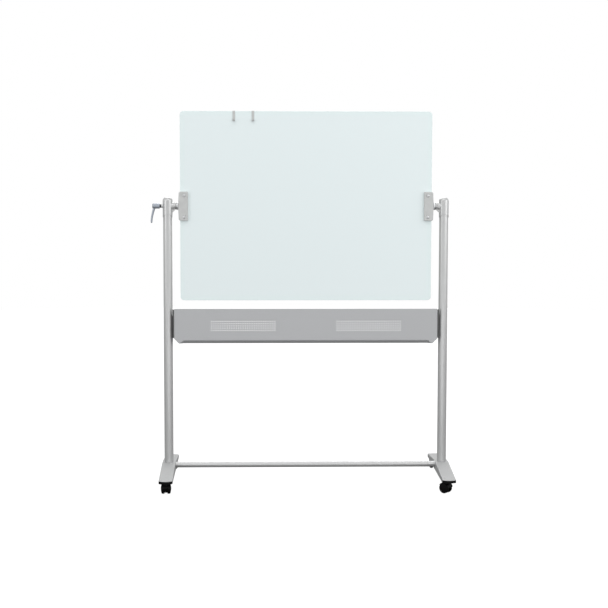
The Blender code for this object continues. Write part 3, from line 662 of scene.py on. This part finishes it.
def pivot_shaft(side):
    """Spigot, collar and journal, with a chamfer at the journal's end."""
    name = f"{side}_pivot_shaft"
    near, spigot_end = reach_of(side, name)
    shaft_end = -near
    collar = reach_of(side, f"{side}_friction_washer")[1] + GAP
    seat = reach_of(side, f"{side}_bracket_front_shell")[0] - GAP
    collar_radius = half_size(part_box(name), 1)
    corners = [(spigot_end, 0, 0), (spigot_end, PIVOT_RADIUS, 0.0006), (seat, PIVOT_RADIUS, 0)]
    corners += [(seat, collar_radius, 0.0012), (collar, collar_radius, 0.0012)]
    corners += [(collar, PIVOT_RADIUS, 0), (shaft_end, PIVOT_RADIUS, 0.0008)]
    if side == "left":
        bore = STUD_RADIUS + GAP
        corners += [(shaft_end, bore, 0), (STUD_HOLE_END, bore, 0), (STUD_HOLE_END, 0, 0)]
    else:
        corners.append((shaft_end, 0, 0))
    corners = [(post_axis(side) - SIDES[side] * a, r, c) for a, r, c in corners]
    profile = soften(corners, 4, closed=False)
    bm = lathe_mesh("x", profile, ROUND, (0, 0, BOARD_CENTRE[2]))
    piece = add_piece(f"{name}_turned", bm, "board", "zinc")
    flatten(piece)
    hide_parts(name)


def foot_top(box, y):
    """Height of the foot's upper face: level under the post, then sloping to the tips."""
    low, high = box
    tip = low[2] + FOOT_TIP_TOP
    slope = (high[2] - tip) / (high[1] - FOOT_FLAT)
    return high[2] - slope * max(0.0, abs(y) - FOOT_FLAT)


def tip_points(half_width, half_length, inset, steps=12):
    """One rounded tip seen from above, as (x, y) from the left corner to the right one."""
    radius = (half_width**2 + FOOT_TIP_ROUND**2) / (2 * FOOT_TIP_ROUND)
    spread = math.degrees(math.asin(half_width / radius))
    points = arc((0, half_length - radius), radius - inset, 90 + spread, 90 - spread, steps)
    scale = (half_width - inset) / abs(points[0][0])
    return [(x * scale, y) for x, y in points]


def foot_mouth(box):
    """Where a foot's walls end, measured along Y from its middle."""
    return box[1][1] - END_CAP_DEPTH - FOOT_TIP_ROUND


def foot_skin(box, inset, drop):
    """One ring round the foot at an inset from its outline and a drop below its upper face."""
    half_width = half_size(box, 0)
    tip = tip_points(half_width, box[1][1], inset)
    mouth = foot_mouth(box)
    side = [(half_width - inset, y) for y in (mouth + GAP, mouth, 0.200, 0.110, FOOT_FLAT, 0.0)]
    quarter = tip[len(tip) // 2 :] + side
    right = quarter + [(x, -y) for x, y in reversed(quarter[:-1])]
    left = [(-x, y) for x, y in reversed(right[1:-1])]
    x = middle(box)[0]
    return [(x + a, b, foot_top(box, b) - drop) for a, b in right + left]


def foot(side):
    """A pressed channel: sloping roof with a rounded edge, two walls, open tips, stem sockets below."""
    name = f"{side}_foot"
    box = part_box(name)
    walls = foot_mouth(box) + GAP / 2
    rings = [foot_skin(box, inset, drop) for inset, drop in edge_steps(FOOT_EDGE, 4)]
    skirt = [(x, y, box[0][2] if abs(y) < walls else z) for x, y, z in rings[0]]
    bm = loft_mesh([skirt, *rings], caps=False)
    bm.verts.ensure_lookup_table()
    count = len(skirt)
    top = list(bm.verts)[-count:]
    for i in range(count // 2):
        corners = [top[i], top[(i + 1) % count], top[(-i - 1) % count], top[-i % count]]
        unique = list(dict.fromkeys(corners))
        if len(unique) > 2:
            bm.faces.new(unique)
    # the feet are silver paint, drawn with a darker copy of it as painted shade
    piece = add_piece(f"{name}_channel", bm, "stand", "silver_paint", LOOKS["shaded_silver_paint"])
    thicken(piece, FOOT_SHEET)
    flatten(piece)
    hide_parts(name)
    for end in ENDS:
        foot_socket(side, end, box)


def foot_socket(side, end, box):
    """The sleeve under the foot's roof that holds a caster's stem."""
    x, y, _ = JOINTS[f"{side}_{end}_swivel"]["pos_m"]
    low = box[0][2] + 0.0005
    high = foot_top(box, y) - FOOT_SHEET - 0.0012
    bm = tube_mesh("z", (x, y, 0), STEM_RADIUS + GAP, SOCKET_RADIUS, low, high, FINE)
    piece = add_piece(f"{side}_foot_{end}_socket", bm, "stand", "silver_paint")
    round_off(piece, 0.0004)


def foot_cap(side, end):
    """The black plug in the foot's open tip."""
    name = f"{side}_foot_{end}_cap"
    low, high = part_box(name)
    way = ENDS[end]
    foot_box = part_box(f"{side}_foot")
    half_width = half_size(foot_box, 0)
    tip = tip_points(half_width, foot_box[1][1], 0.0, 24)
    back = min(abs(low[1]), abs(high[1]))
    outline = [*tip, (half_width, back), (-half_width, back)]
    x = middle(foot_box)[0]
    rings = [[(x + a, way * b, z) for a, b in outline] for z in (low[2], high[2])]
    piece = add_piece(f"{name}_plug", loft_mesh(rings), "stand", "black_plastic")
    round_off(piece, 0.0008, 3)
    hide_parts(name)


def crossbar():
    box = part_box("crossbar")
    _, y, z = middle(box)
    bm = tube_mesh("x", (0, y, z), CROSSBAR_BOLT_HOLE, half_size(box, 2), box[0][0], box[1][0])
    piece = add_piece("crossbar_tube", bm, "stand", "silver_paint")
    round_off(piece, 0.0006)
    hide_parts("crossbar")


def socket_bolt(name, axis, head_radius, head_depth, shank):
    """A cap screw with a hexagon socket in its head, in place of a plain bolt."""
    box = low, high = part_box(name)
    x, y, z = middle(box)
    if axis == "z":
        head, tip, at, centre = low[2], high[2], (x, y, 0), (x, y)
    else:
        tip, head = sorted((low[0], high[0]), key=lambda end: abs(end - BOARD_CENTRE[0]))
        at, centre = (0, y, z), (y, z)
    way = 1 if tip > head else -1
    under = head + way * head_depth
    corners = [(head, 0, 0), (head, head_radius, 0.0009), (under, head_radius, 0.0003)]
    corners += [(under, shank, 0), (tip, shank, 0.0008), (tip, 0, 0)]
    profile = soften(corners, 3, closed=False)
    piece = add_piece(f"{name}_cap_screw", lathe_mesh(axis, profile, FINE, at), "stand", "zinc")
    start, end = head - way * 0.001, head + way * 0.5 * head_depth
    combine(piece, "DIFFERENCE", [tool(bar_mesh(axis, centre, BOLT_SOCKET, start, end, 6))])
    flatten(piece)
    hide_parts(name)


def pan_screw(name, axis, head, tip, under, at, radius, body):
    """A pan-head screw with a cross recess."""
    way = 1 if tip > head else -1
    dome = [(head, 0.45 * radius), (head + way * 0.0007, 0.85 * radius)]
    profile = [(head, 0), *dome, (under - way * 0.0008, radius), (under, radius)]
    profile += [(under, SCREW_SHANK), (tip - way * 0.001, SCREW_SHANK)]
    profile += [(tip, 0.6 * SCREW_SHANK), (tip, 0)]
    piece = add_piece(f"{name}_pan_head", lathe_mesh(axis, profile, FINE, at), body, "zinc")
    start, end = head - way * 0.001, head + way * 0.0018
    cuts = [tool(slot_mesh(axis, start, end, radius, turn, at)) for turn in (45, 135)]
    combine(piece, "DIFFERENCE", cuts)
    flatten(piece)
    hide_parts(name)


def slot_mesh(axis, start, end, radius, turn, at):
    """One bar of a cross recess, shorter at its bottom."""
    reach, half = 0.55 * radius, 0.10 * radius
    rotation = Matrix.Rotation(math.radians(turn), 2)
    rings = []
    for place, scale in ((start, 1.0), (end, 0.6)):
        corners = rectangle(-reach * scale, reach * scale, -half, half)
        rings.append([on_axis(axis, place, *(rotation @ Vector(corner)), at) for corner in corners])
    return loft_mesh(rings)


# ---- Tray ------------------------------------
def fill(bm, loops):
    """A flat face inside the first loop and outside the others, made of triangles."""
    edges = []
    for loop in loops:
        verts = [bm.verts.new(point) for point in loop]
        edges += [bm.edges.new((verts[i - 1], vert)) for i, vert in enumerate(verts)]
    bmesh.ops.triangle_fill(bm, use_beauty=True, edges=edges)


def tray():
    """Folded sheet: perforated front, bent lower edge, floor, low back and closed ends."""
    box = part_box("tray")
    (_, front, bottom), (_, back, top) = box
    centre = middle(box)[0]
    end = half_size(box, 0)
    bm = bmesh.new()
    stations = [(end, TRAY_CORNER, 0.0), (end - TRAY_CORNER, 0.0, 0.0)]
    stations += [(end - TRAY_BEND_ENDS[0], 0.0, 0.0), (end - TRAY_BEND_ENDS[1], 0.0, TRAY_BEND)]
    stations = [(-x, rise, bend) for x, rise, bend in stations] + stations[::-1]
    rows = []
    for x, rise, bend in stations:
        low = bottom + rise
        section = [(front, low + bend), (front + bend, low), (back, low), (back, bottom + TRAY_BACK)]
        rows.append([bm.verts.new((centre + x, y, z)) for y, z in section])
    for row, following in zip(rows, rows[1:]):
        for k in range(3):
            bm.faces.new((row[k], row[k + 1], following[k + 1], following[k]))
    for row in (rows[0], rows[-1]):
        corner = bm.verts.new((row[0].co.x, front, top))
        bm.faces.new((corner, *row))

    upper = top - HOLE_TOP
    half = HOLE_COLUMNS * HOLE_PITCH / 2
    zones = []
    for x in (-HOLE_ZONE, HOLE_ZONE):
        zones.append(rectangle(x - half, x + half, upper - HOLE_ROWS * HOLE_PITCH, upper + HOLE_PITCH))
    outline = [(x, bottom + rise + bend) for x, rise, bend in stations]
    outline = [(-end, top), *outline, (end, top)]
    fill(bm, [[(centre + a, front, b) for a, b in loop] for loop in [outline, *zones]])
    for middle_x, zone in zip((-HOLE_ZONE, HOLE_ZONE), zones):
        loops = [zone]
        for column in range(HOLE_COLUMNS):
            x = middle_x + (column - (HOLE_COLUMNS - 1) / 2) * HOLE_PITCH
            for row in range(HOLE_ROWS):
                loops.append(circle((x, upper - row * HOLE_PITCH), HOLE_RADIUS, 12))
        fill(bm, [[(centre + a, front, b) for a, b in loop] for loop in loops])
    piece = add_piece("tray_trough", bm, "stand", "tray_paint")
    bevel(piece, TRAY_FOLD, 3, 15)
    thicken(piece, TRAY_WALL)
    flatten(piece)
    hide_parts("tray")


def tray_bracket(side):
    """The spacer plate between a tray end and the post, dark so that it paints the shadow of the gap there."""
    name = f"{side}_tray_bracket"
    low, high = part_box(name)
    corners = [(low[1], low[2], 0.001), (high[1], low[2], 0.003)]
    corners += [(high[1], TRAY_PLATE_REAR, 0.004), (low[1], high[2], 0.001)]
    outline = soften(corners, 4)
    rings = [[(x, y, z) for y, z in outline] for x in (low[0], high[0])]
    # the dark_plastic look here is painted shade: the plate's dark tone stands for the shadow in the gap between
    # tray end and post
    piece = add_piece(f"{name}_plate", loft_mesh(rings), "stand", "dark_plastic")
    round_off(piece, 0.0005)
    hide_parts(name)


# ---- Board -----------------------------------
def glass_outline(box, inset):
    low, high = box
    corners = rectangle(low[0] + inset, high[0] - inset, low[2] + inset, high[2] - inset)
    return soften([(x, z, GLASS_CORNER - inset) for x, z in corners], 12)


def bracket_screw_places(side):
    edge = BOARD_BOX[1][0] if SIDES[side] > 0 else BOARD_BOX[0][0]
    x = edge - SIDES[side] * BRACKET_SCREW_INSET
    return [(x, BOARD_CENTRE[2] + way * BRACKET_SCREW_Z) for way in (-1, 1)]


def glass(end):
    """A pane with rounded corners and a polished, softly rounded edge."""
    name = f"{end}_glass"
    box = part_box(name)
    steps = [(depth, glass_outline(box, inset)) for depth, inset in edge_steps(GLASS_EDGE, 3)]
    rings = [[(x, box[0][1] + depth, z) for x, z in outline] for depth, outline in steps]
    rings += [[(x, box[1][1] - depth, z) for x, z in outline] for depth, outline in steps[::-1]]
    piece = add_piece(f"{name}_pane", loft_mesh(rings), "board", "board_glass")
    holes = []
    for side in SIDES:
        for place in bracket_screw_places(side):
            holes.append(tool(bar_mesh("y", place, GLASS_HOLE, -0.02, 0.02, FINE)))
    combine(piece, "DIFFERENCE", holes)
    piece.data.materials.append(GLASS_RIM)
    for face in piece.data.polygons:
        if abs(face.normal.y) < 0.5:
            face.material_index = 1
    piece.data.shade_smooth()
    flatten(piece)
    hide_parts(name)


def bracket_outline(side, inset):
    """Straight inner edge, slightly bowed outer edge and rounded corners, seen from the front."""
    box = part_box(f"{side}_bracket_front_shell")
    half = half_size(box, 2) - inset
    sign = SIDES[side]
    inner, outer = (box[0][0], box[1][0]) if sign > 0 else (box[1][0], box[0][0])
    inner, outer = inner + sign * inset, outer - sign * inset
    bow = sign * SHELL_BOW
    corners = [(inner, -half, 0.004), (outer - bow, -half, 0.009), (outer, 0, 0.400)]
    corners += [(outer - bow, half, 0.009), (inner, half, 0.004)]
    return [(x, BOARD_CENTRE[2] + z) for x, z in soften(corners, 6)]


def bracket_shell(side, end):
    """Half of the side clamp, with a soft edge and a gently falling outer third."""
    sign = SIDES[side]
    way = ENDS[end]
    name = f"{side}_bracket_{end}_shell"
    low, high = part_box(name)
    face = max(abs(low[1]), abs(high[1]))
    board_edge = BOARD_BOX[1][0] if sign > 0 else BOARD_BOX[0][0]
    centre_z = BOARD_CENTRE[2]
    fall_start = board_edge - sign * 0.006
    outer = high[0] if sign > 0 else low[0]

    def depth(x, level):
        """How far from the middle plane a point of the face lies."""
        share = max(0.0, (x - fall_start) / (outer - fall_start))
        return level - SHELL_FALL * share * level / face

    rings = [[(x, way * GAP / 2, z) for x, z in bracket_outline(side, 0.0)]]
    for inset, drop in edge_steps(SHELL_EDGE, 5):
        outline = bracket_outline(side, inset)
        rings.append([(x, way * depth(x, face - drop), z) for x, z in outline])
    piece = add_piece(f"{name}_moulding", loft_mesh(rings), "board", "grey_plastic")
    glass_y = max(abs(corner[1]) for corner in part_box(f"{end}_glass")) + GAP
    near, far = sorted((board_edge - sign * 0.25, board_edge + sign * 0.0005))
    pocket = rectangle(near, far, centre_z - 0.2, centre_z + 0.2)
    pocket = [[(x, y, z) for x, z in pocket] for y in (-way * 0.01, way * glass_y)]
    journal = (board_edge - sign * 0.004, outer + sign * 0.004)
    cuts = [tool(loft_mesh(pocket)), tool(bar_mesh("x", (0, centre_z), PIVOT_RADIUS + GAP, *journal))]
    floor = face - RECESS_DEPTH
    for place in bracket_screw_places(side):
        if end == "front":
            cuts.append(tool(bar_mesh("y", place, RECESS_RADIUS, way * floor, way * (face + 0.004))))
        depth_of_hole = floor + 0.002 if end == "front" else face - 0.004
        cuts.append(tool(bar_mesh("y", place, SCREW_HOLE, 0.0, way * depth_of_hole, FINE)))
    combine(piece, "DIFFERENCE", cuts)
    round_off(piece, 0.0004, angle=40)
    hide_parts(name)


def bracket_screw(side, level):
    name = f"{side}_{level}_bracket_screw"
    box = low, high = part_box(name)
    x, _, z = middle(box)
    pan_screw(name, "y", low[1], high[1], low[1] + 0.0022, (x, 0, z), half_size(box, 0), "board")


def tray_screw(side):
    name = f"{side}_tray_screw"
    box = low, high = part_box(name)
    _, y, z = middle(box)
    head, tip = (high[0], low[0]) if SIDES[side] < 0 else (low[0], high[0])
    under = head + SIDES[side] * 0.0032
    pan_screw(name, "x", head, tip, under, (0, y, z), half_size(box, 2), "stand")


def hook_path(low_z, top_z, face_y):
    """The strip's middle line in the YZ plane, with rounded bends."""
    peg = -face_y - 0.009
    corners = [(face_y, top_z - HOOK_BACK, 0), (face_y, top_z, 0.0022), (-face_y, top_z, 0.0022)]
    corners += [(-face_y, low_z + 0.007, 0.003), (-face_y - 0.0025, low_z + 0.002, 0.0025)]
    corners += [(peg, low_z + 0.0015, 0.003), (peg - 0.004, low_z + 0.010, 0)]
    return soften(corners, 5, closed=False)


def flipchart_hook(name, body):
    """A bent strip with rounded edges over the board's top edge, and a curled peg."""
    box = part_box(name)
    x = middle(box)[0]
    half = half_size(box, 0)
    half_sheet = HOOK_SHEET / 2
    top_z = box[1][2] - half_sheet
    path = hook_path(top_z - HOOK_LENGTH, top_z, box[1][1] - half_sheet)
    path = [Vector(point) for point in path]
    corners = rectangle(-half, half, -half_sheet, half_sheet)
    section = soften([(a, b, 0.0006) for a, b in corners], 3)
    last = len(path) - 1
    rings = []
    for i, here in enumerate(path):
        heading = (path[min(i + 1, last)] - path[max(i - 1, 0)]).normalized()
        normal = Vector((-heading.y, heading.x))
        taper = 1.0 if 0 < i < last else 0.8
        rings.append([(x + a * taper, here.x + normal.x * b, here.y + normal.y * b) for a, b in section])
    piece = add_piece(f"{name}_strip", loft_mesh(rings), body, "grey_plastic")
    flatten(piece)
    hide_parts(name)


# ---- Lever -----------------------------------
def lever_insert():
    """Stud, collar and core."""
    name = "lever_insert"
    x, _, z = JOINTS["lever_turn"]["pos_m"]
    collar = LEVER_START - 0.0007
    corners = [(-0.0085, 0, 0), (-0.0085, STUD_RADIUS, 0.0006), (LEVER_BOSS_END + GAP, STUD_RADIUS, 0)]
    corners += [(LEVER_BOSS_END + GAP, 0.0080, 0.0006), (collar, 0.0090, 0.0006), (collar, 0.0055, 0)]
    corners += [(LEVER_START + 0.012, 0.0055, 0.0004), (LEVER_START + 0.012, 0.0023, 0)]
    corners += [(LEVER_START + 0.002, 0.0023, 0), (LEVER_START + 0.002, 0, 0)]
    profile = soften([(x - a, r, c) for a, r, c in corners], 3, closed=False)
    bm = lathe_mesh("x", profile, 48, (0, 0, z))
    # the near-black look paints the shade in the gap between lever hub and head boss, where this collar shows
    piece = add_piece(f"{name}_core", bm, "lever_core", "black_steel")
    flatten(piece)
    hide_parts(name)


def arm_rings(x, z, sections=16, tip=6, sides=20):
    """The lever's arm: it leaves the hub's outer half, swings outwards and ends round."""
    stations = [(ARM_STRAIGHT * k / sections, 1.0) for k in range(sections + 1)]
    for k in range(1, tip + 1):
        turn = math.radians(90 * k / tip)
        stations.append((ARM_STRAIGHT + (1 - ARM_STRAIGHT) * math.sin(turn), max(0.1, math.cos(turn))))
    rings = []
    for share, end in stations:
        out = LEVER_START + ARM_OUT + ARM_SWING * math.sin(share * math.pi / 2)
        down = ARM_TOP - ARM_LENGTH * share
        half_width = (0.0062 - 0.0020 * share) * end
        half_depth = (0.0068 - 0.0018 * share) * end
        turn = [2 * math.pi * i / sides for i in range(sides)]
        ring = [(x - out + half_width * math.cos(a), half_depth * math.sin(a), z + down) for a in turn]
        rings.append(ring)
    return rings


def lever_handle():
    """Hub and arm as one casting, hollow where the core, screw and spring sit."""
    name = "lever_handle"
    x, _, z = JOINTS["lever_turn"]["pos_m"]
    hub, end = LEVER_START, LEVER_START + LEVER_LENGTH
    shoulder = hub + LEVER_SHOULDER
    lid = end - LEVER_LID
    profile = [(hub, LEVER_BORE), (hub, LEVER_RADIUS - 0.0012), (hub + 0.0012, LEVER_RADIUS)]
    profile += [(end - 0.0035, LEVER_RADIUS), (end - 0.0012, LEVER_RADIUS - 0.0018)]
    profile += [(end, LEVER_RADIUS - 0.0045), (end, 0), (lid, 0), (lid, LEVER_HOLLOW)]
    profile += [(shoulder, LEVER_HOLLOW), (shoulder, LEVER_BORE)]
    profile = [(x - a, r) for a, r in profile]
    bm = lathe_mesh("x", profile, ROUND, (0, 0, z), closed=True)
    piece = add_piece(f"{name}_casting", bm, "lever_grip", "lever_metal")
    arm = tool(loft_mesh(arm_rings(x, z)))
    hollow = bar_mesh("x", (0, z), LEVER_HOLLOW + 0.0016, x - lid, x - shoulder)
    combine(arm, "DIFFERENCE", [tool(hollow)])
    cast(piece, 0.0005, [arm])
    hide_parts(name)


# ---- Casters, made at the origin with the wheels trailing to the rear ----
def wheel_mesh(sign):
    """Rounded tread, a groove and a hub disc on the outer face, a ring-shaped hollow in the inner one."""
    blind = WHEEL_OUTER - 0.0022
    corners = [(blind, 0, 0), (blind, AXLE_HOLE, 0), (WHEEL_INNER, AXLE_HOLE, 0)]
    corners += [(WHEEL_INNER, 0.0070, 0.0004), (WHEEL_INNER + 0.0030, 0.0085, 0.0006)]
    corners += [(WHEEL_INNER + 0.0030, 0.0190, 0.0006), (WHEEL_INNER, 0.0205, 0.0006)]
    corners += [(WHEEL_INNER, 0.0232, 0.0010), (0.0090, WHEEL_RADIUS, 0.0015)]
    corners += [(0.0178, WHEEL_RADIUS, 0.0020), (0.0207, 0.0225, 0.0020), (0.0225, 0.0165, 0.0008)]
    corners += [(0.0218, 0.0158, 0.0004), (0.0230, 0.0146, 0.0008), (0.0243, 0.0080, 0.0040)]
    corners.append((WHEEL_OUTER, 0, 0))
    profile = soften([(sign * x, r, c) for x, r, c in corners], 3, closed=False)
    return lathe_mesh("x", profile, 48, (0, *AXLE))


def caster_casting(stem_top, boss_top):
    """Stem, ring, web and hood in one moulding."""
    corners = [(0.028, 0, 0), (0.028, 0.0064, 0), (boss_top - 0.0022, 0.0064, 0.0004)]
    corners += [(boss_top - 0.0016, 0.0078, 0.0003), (boss_top, 0.0078, 0.0003), (boss_top, STEM_RADIUS, 0)]
    corners += [(stem_top, STEM_RADIUS, 0.0010), (stem_top, 0, 0)]
    profile = soften(corners, 3, closed=False)
    piece = add_piece("caster_moulding", lathe_mesh("z", profile, 48), None, "black_plastic")
    web = arc(AXLE, 0.0262, 12, 168, 24) + arc(AXLE, 0.0200, 180, 360, 24)
    hood = arc(AXLE, HOOD_RADII[0], *HOOD_ENDS, 24) + arc(AXLE, HOOD_RADII[1], *HOOD_ENDS[::-1], 24)
    parts = []
    for outline, half in ((web, 0.006), (hood, HOOD_HALF_WIDTH)):
        parts.append(tool(loft_mesh([[(x, y, z) for y, z in outline] for x in (-half, half)])))
    cast(piece, 0.0005, parts)
    combine(piece, "DIFFERENCE", [tool(bar_mesh("x", AXLE, AXLE_HOLE, -0.01, 0.01, FINE))])
    flatten(piece)
    return piece


def copy_of(source, name, place, body):
    """Another piece with the same mesh, at a place of its own."""
    piece = add_object(name, source.data)
    piece.matrix_world = place
    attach(piece, body)
    return piece


def casters():
    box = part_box("left_front_caster_body")
    moulding = caster_casting(box[1][2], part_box("left_foot")[0][2] - 0.0015)
    wheels = {}
    for side, sign in SIDES.items():
        wheels[side] = add_piece(f"{side}_wheel_master", wheel_mesh(sign), None, "wheel_plastic")
    for side in SIDES:
        for end in ENDS:
            name = f"{side}_{end}"
            swivel = JOINTS[f"{name}_swivel"]["pos_m"]
            spin = JOINTS[f"{name}_left_spin"]["axis"]
            turn = math.atan2(spin[1], spin[0])
            place = Matrix.Translation(swivel) @ Matrix.Rotation(turn, 4, "Z")
            body = f"{name}_caster"
            piece = copy_of(moulding, f"{name}_caster_hood", place, body)
            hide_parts(f"{name}_caster_body")
            for wheel_side, master in wheels.items():
                node_name = f"{name}_{wheel_side}_wheel"
                wheel = copy_of(master, f"{node_name}_tread", place, node_name)
                flatten(wheel)
                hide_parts(node_name)
    for source in [moulding, *wheels.values()]:
        bpy.data.objects.remove(source)


# ---- CAD nodes that stay: only their material changes ----
def dress_kept_nodes():
    slots = {part["node"]: part["material_slot"] for part in frame["record"]["subparts"]}
    for name, obj in frame["nodes"].items():
        obj.data.materials.clear()
        obj.data.materials.append(LOOKS[slots[name]])


# ---- Stage -----------------------------------
def camera_rays(made):
    """One for what the camera sees directly, and nothing for light that falls on the object."""
    return node(made, "ShaderNodeLightPath").outputs["Is Camera Ray"]


def floor():
    """A pale floor that stays white in the picture and keeps a faint shadow under the feet."""
    bm = bmesh.new()
    bmesh.ops.create_circle(bm, cap_ends=True, radius=FLOOR_RADIUS, segments=96)
    mesh = bpy.data.meshes.new("floor")
    bm.to_mesh(mesh)
    bm.free()
    made, shader = new_material("floor", (0.16, 0.16, 0.16), 0.0, 0.9)
    vary_colour(made, shader, noise(made, coordinates(made), 3.0, 4.0), 0.995, 1.005)
    shader.inputs["Emission Color"].default_value = (1, 1, 1, 1)
    link(made, span(made, camera_rays(made), 0.0, 0.92), shader.inputs["Emission Strength"])
    mesh.materials.append(made)
    add_object("floor", mesh)


def area_light(name, place, target, size, power):
    light = bpy.data.lights.new(name, "AREA")
    light.shape = "RECTANGLE"
    light.size, light.size_y = size
    light.energy = power
    obj = add_object(name, light)
    obj.location = place
    obj.rotation_euler = (Vector(target) - Vector(place)).to_track_quat("-Z", "Y").to_euler()
    obj.visible_camera = False


def lights():
    """Soft boxes on all sides, in a studio that is dimmer than its white background."""
    world = bpy.data.worlds.new("studio")
    bpy.context.scene.world = world
    world.use_nodes = True
    background = world.node_tree.nodes["Background"]
    background.inputs["Color"].default_value = (1.0, 1.0, 1.0, 1.0)
    direction = node(world, "ShaderNodeTexCoord")
    parts = node(world, "ShaderNodeSeparateXYZ")
    link(world, direction.outputs["Generated"], parts.inputs[0])
    around = span(world, parts.outputs["Y"], STUDIO_FRONT, STUDIO_BACK, -0.35, 0.25)
    seen = node(world, "ShaderNodeMix", data_type="FLOAT")
    link(world, camera_rays(world), seen.inputs[0])
    link(world, around, seen.inputs[2])
    seen.inputs[3].default_value = 1.0
    link(world, seen.outputs[0], background.inputs["Strength"])
    aim = (0, 0, 1.2)
    area_light("left_box", (-3.4, -2.2, 1.7), aim, (0.8, 2.3), 16)
    area_light("right_box", (3.2, -2.0, 1.9), aim, (2.8, 2.1), 28)
    area_light("top_box", (0, -1.6, 4.4), aim, (3.0, 1.2), 14)
    area_light("low_box", (0, -2.4, 0.10), (0, 0, 0.9), (3.4, 0.9), 13)
    area_light("back_box", (0, 2.8, 3.9), aim, (3.6, 1.4), 70)
    area_light("rim_box", (2.6, 3.6, 1.4), aim, (1.2, 2.8), 18)


def camera():
    data = bpy.data.cameras.new("camera")
    data.lens = CAMERA_LENS
    data.sensor_width = 36.0
    data.clip_end = 200.0
    obj = add_object("camera", data)
    turn = Matrix.Rotation(math.radians(-CAMERA_YAW), 4, "Z")
    tilt = Matrix.Rotation(math.radians(90 - CAMERA_PITCH), 4, "X")
    roll = Matrix.Rotation(math.radians(CAMERA_ROLL), 4, "Z")
    obj.matrix_world = Matrix.Translation(CAMERA_PLACE) @ turn @ tilt @ roll
    bpy.context.scene.camera = obj
    bpy.context.scene.view_settings.view_transform = "Standard"


# ---- The whole object ------------------------
def stand():
    for side in SIDES:
        post(side)
        post_head(side)
        friction_washer(side)
        foot(side)
        for end in ENDS:
            foot_cap(side, end)
        socket_bolt(f"{side}_post_bolt", "z", 0.009, 0.0075, 0.005)
        socket_bolt(f"{side}_crossbar_bolt", "x", 0.008, 0.005, 0.004)
        tray_bracket(side)
        tray_screw(side)
    crossbar()
    tray()


def board():
    for end in ENDS:
        glass(end)
    for side in SIDES:
        pivot_shaft(side)
        for end in ENDS:
            bracket_shell(side, end)
        for level in ("upper", "lower"):
            bracket_screw(side, level)
    flipchart_hook("left_flipchart_hook", "left_hook")
    flipchart_hook("right_flipchart_hook", "right_hook")


def main():
    dress_kept_nodes()
    stand()
    board()
    lever_insert()
    lever_handle()
    casters()
    floor()
    lights()
    camera()


main()
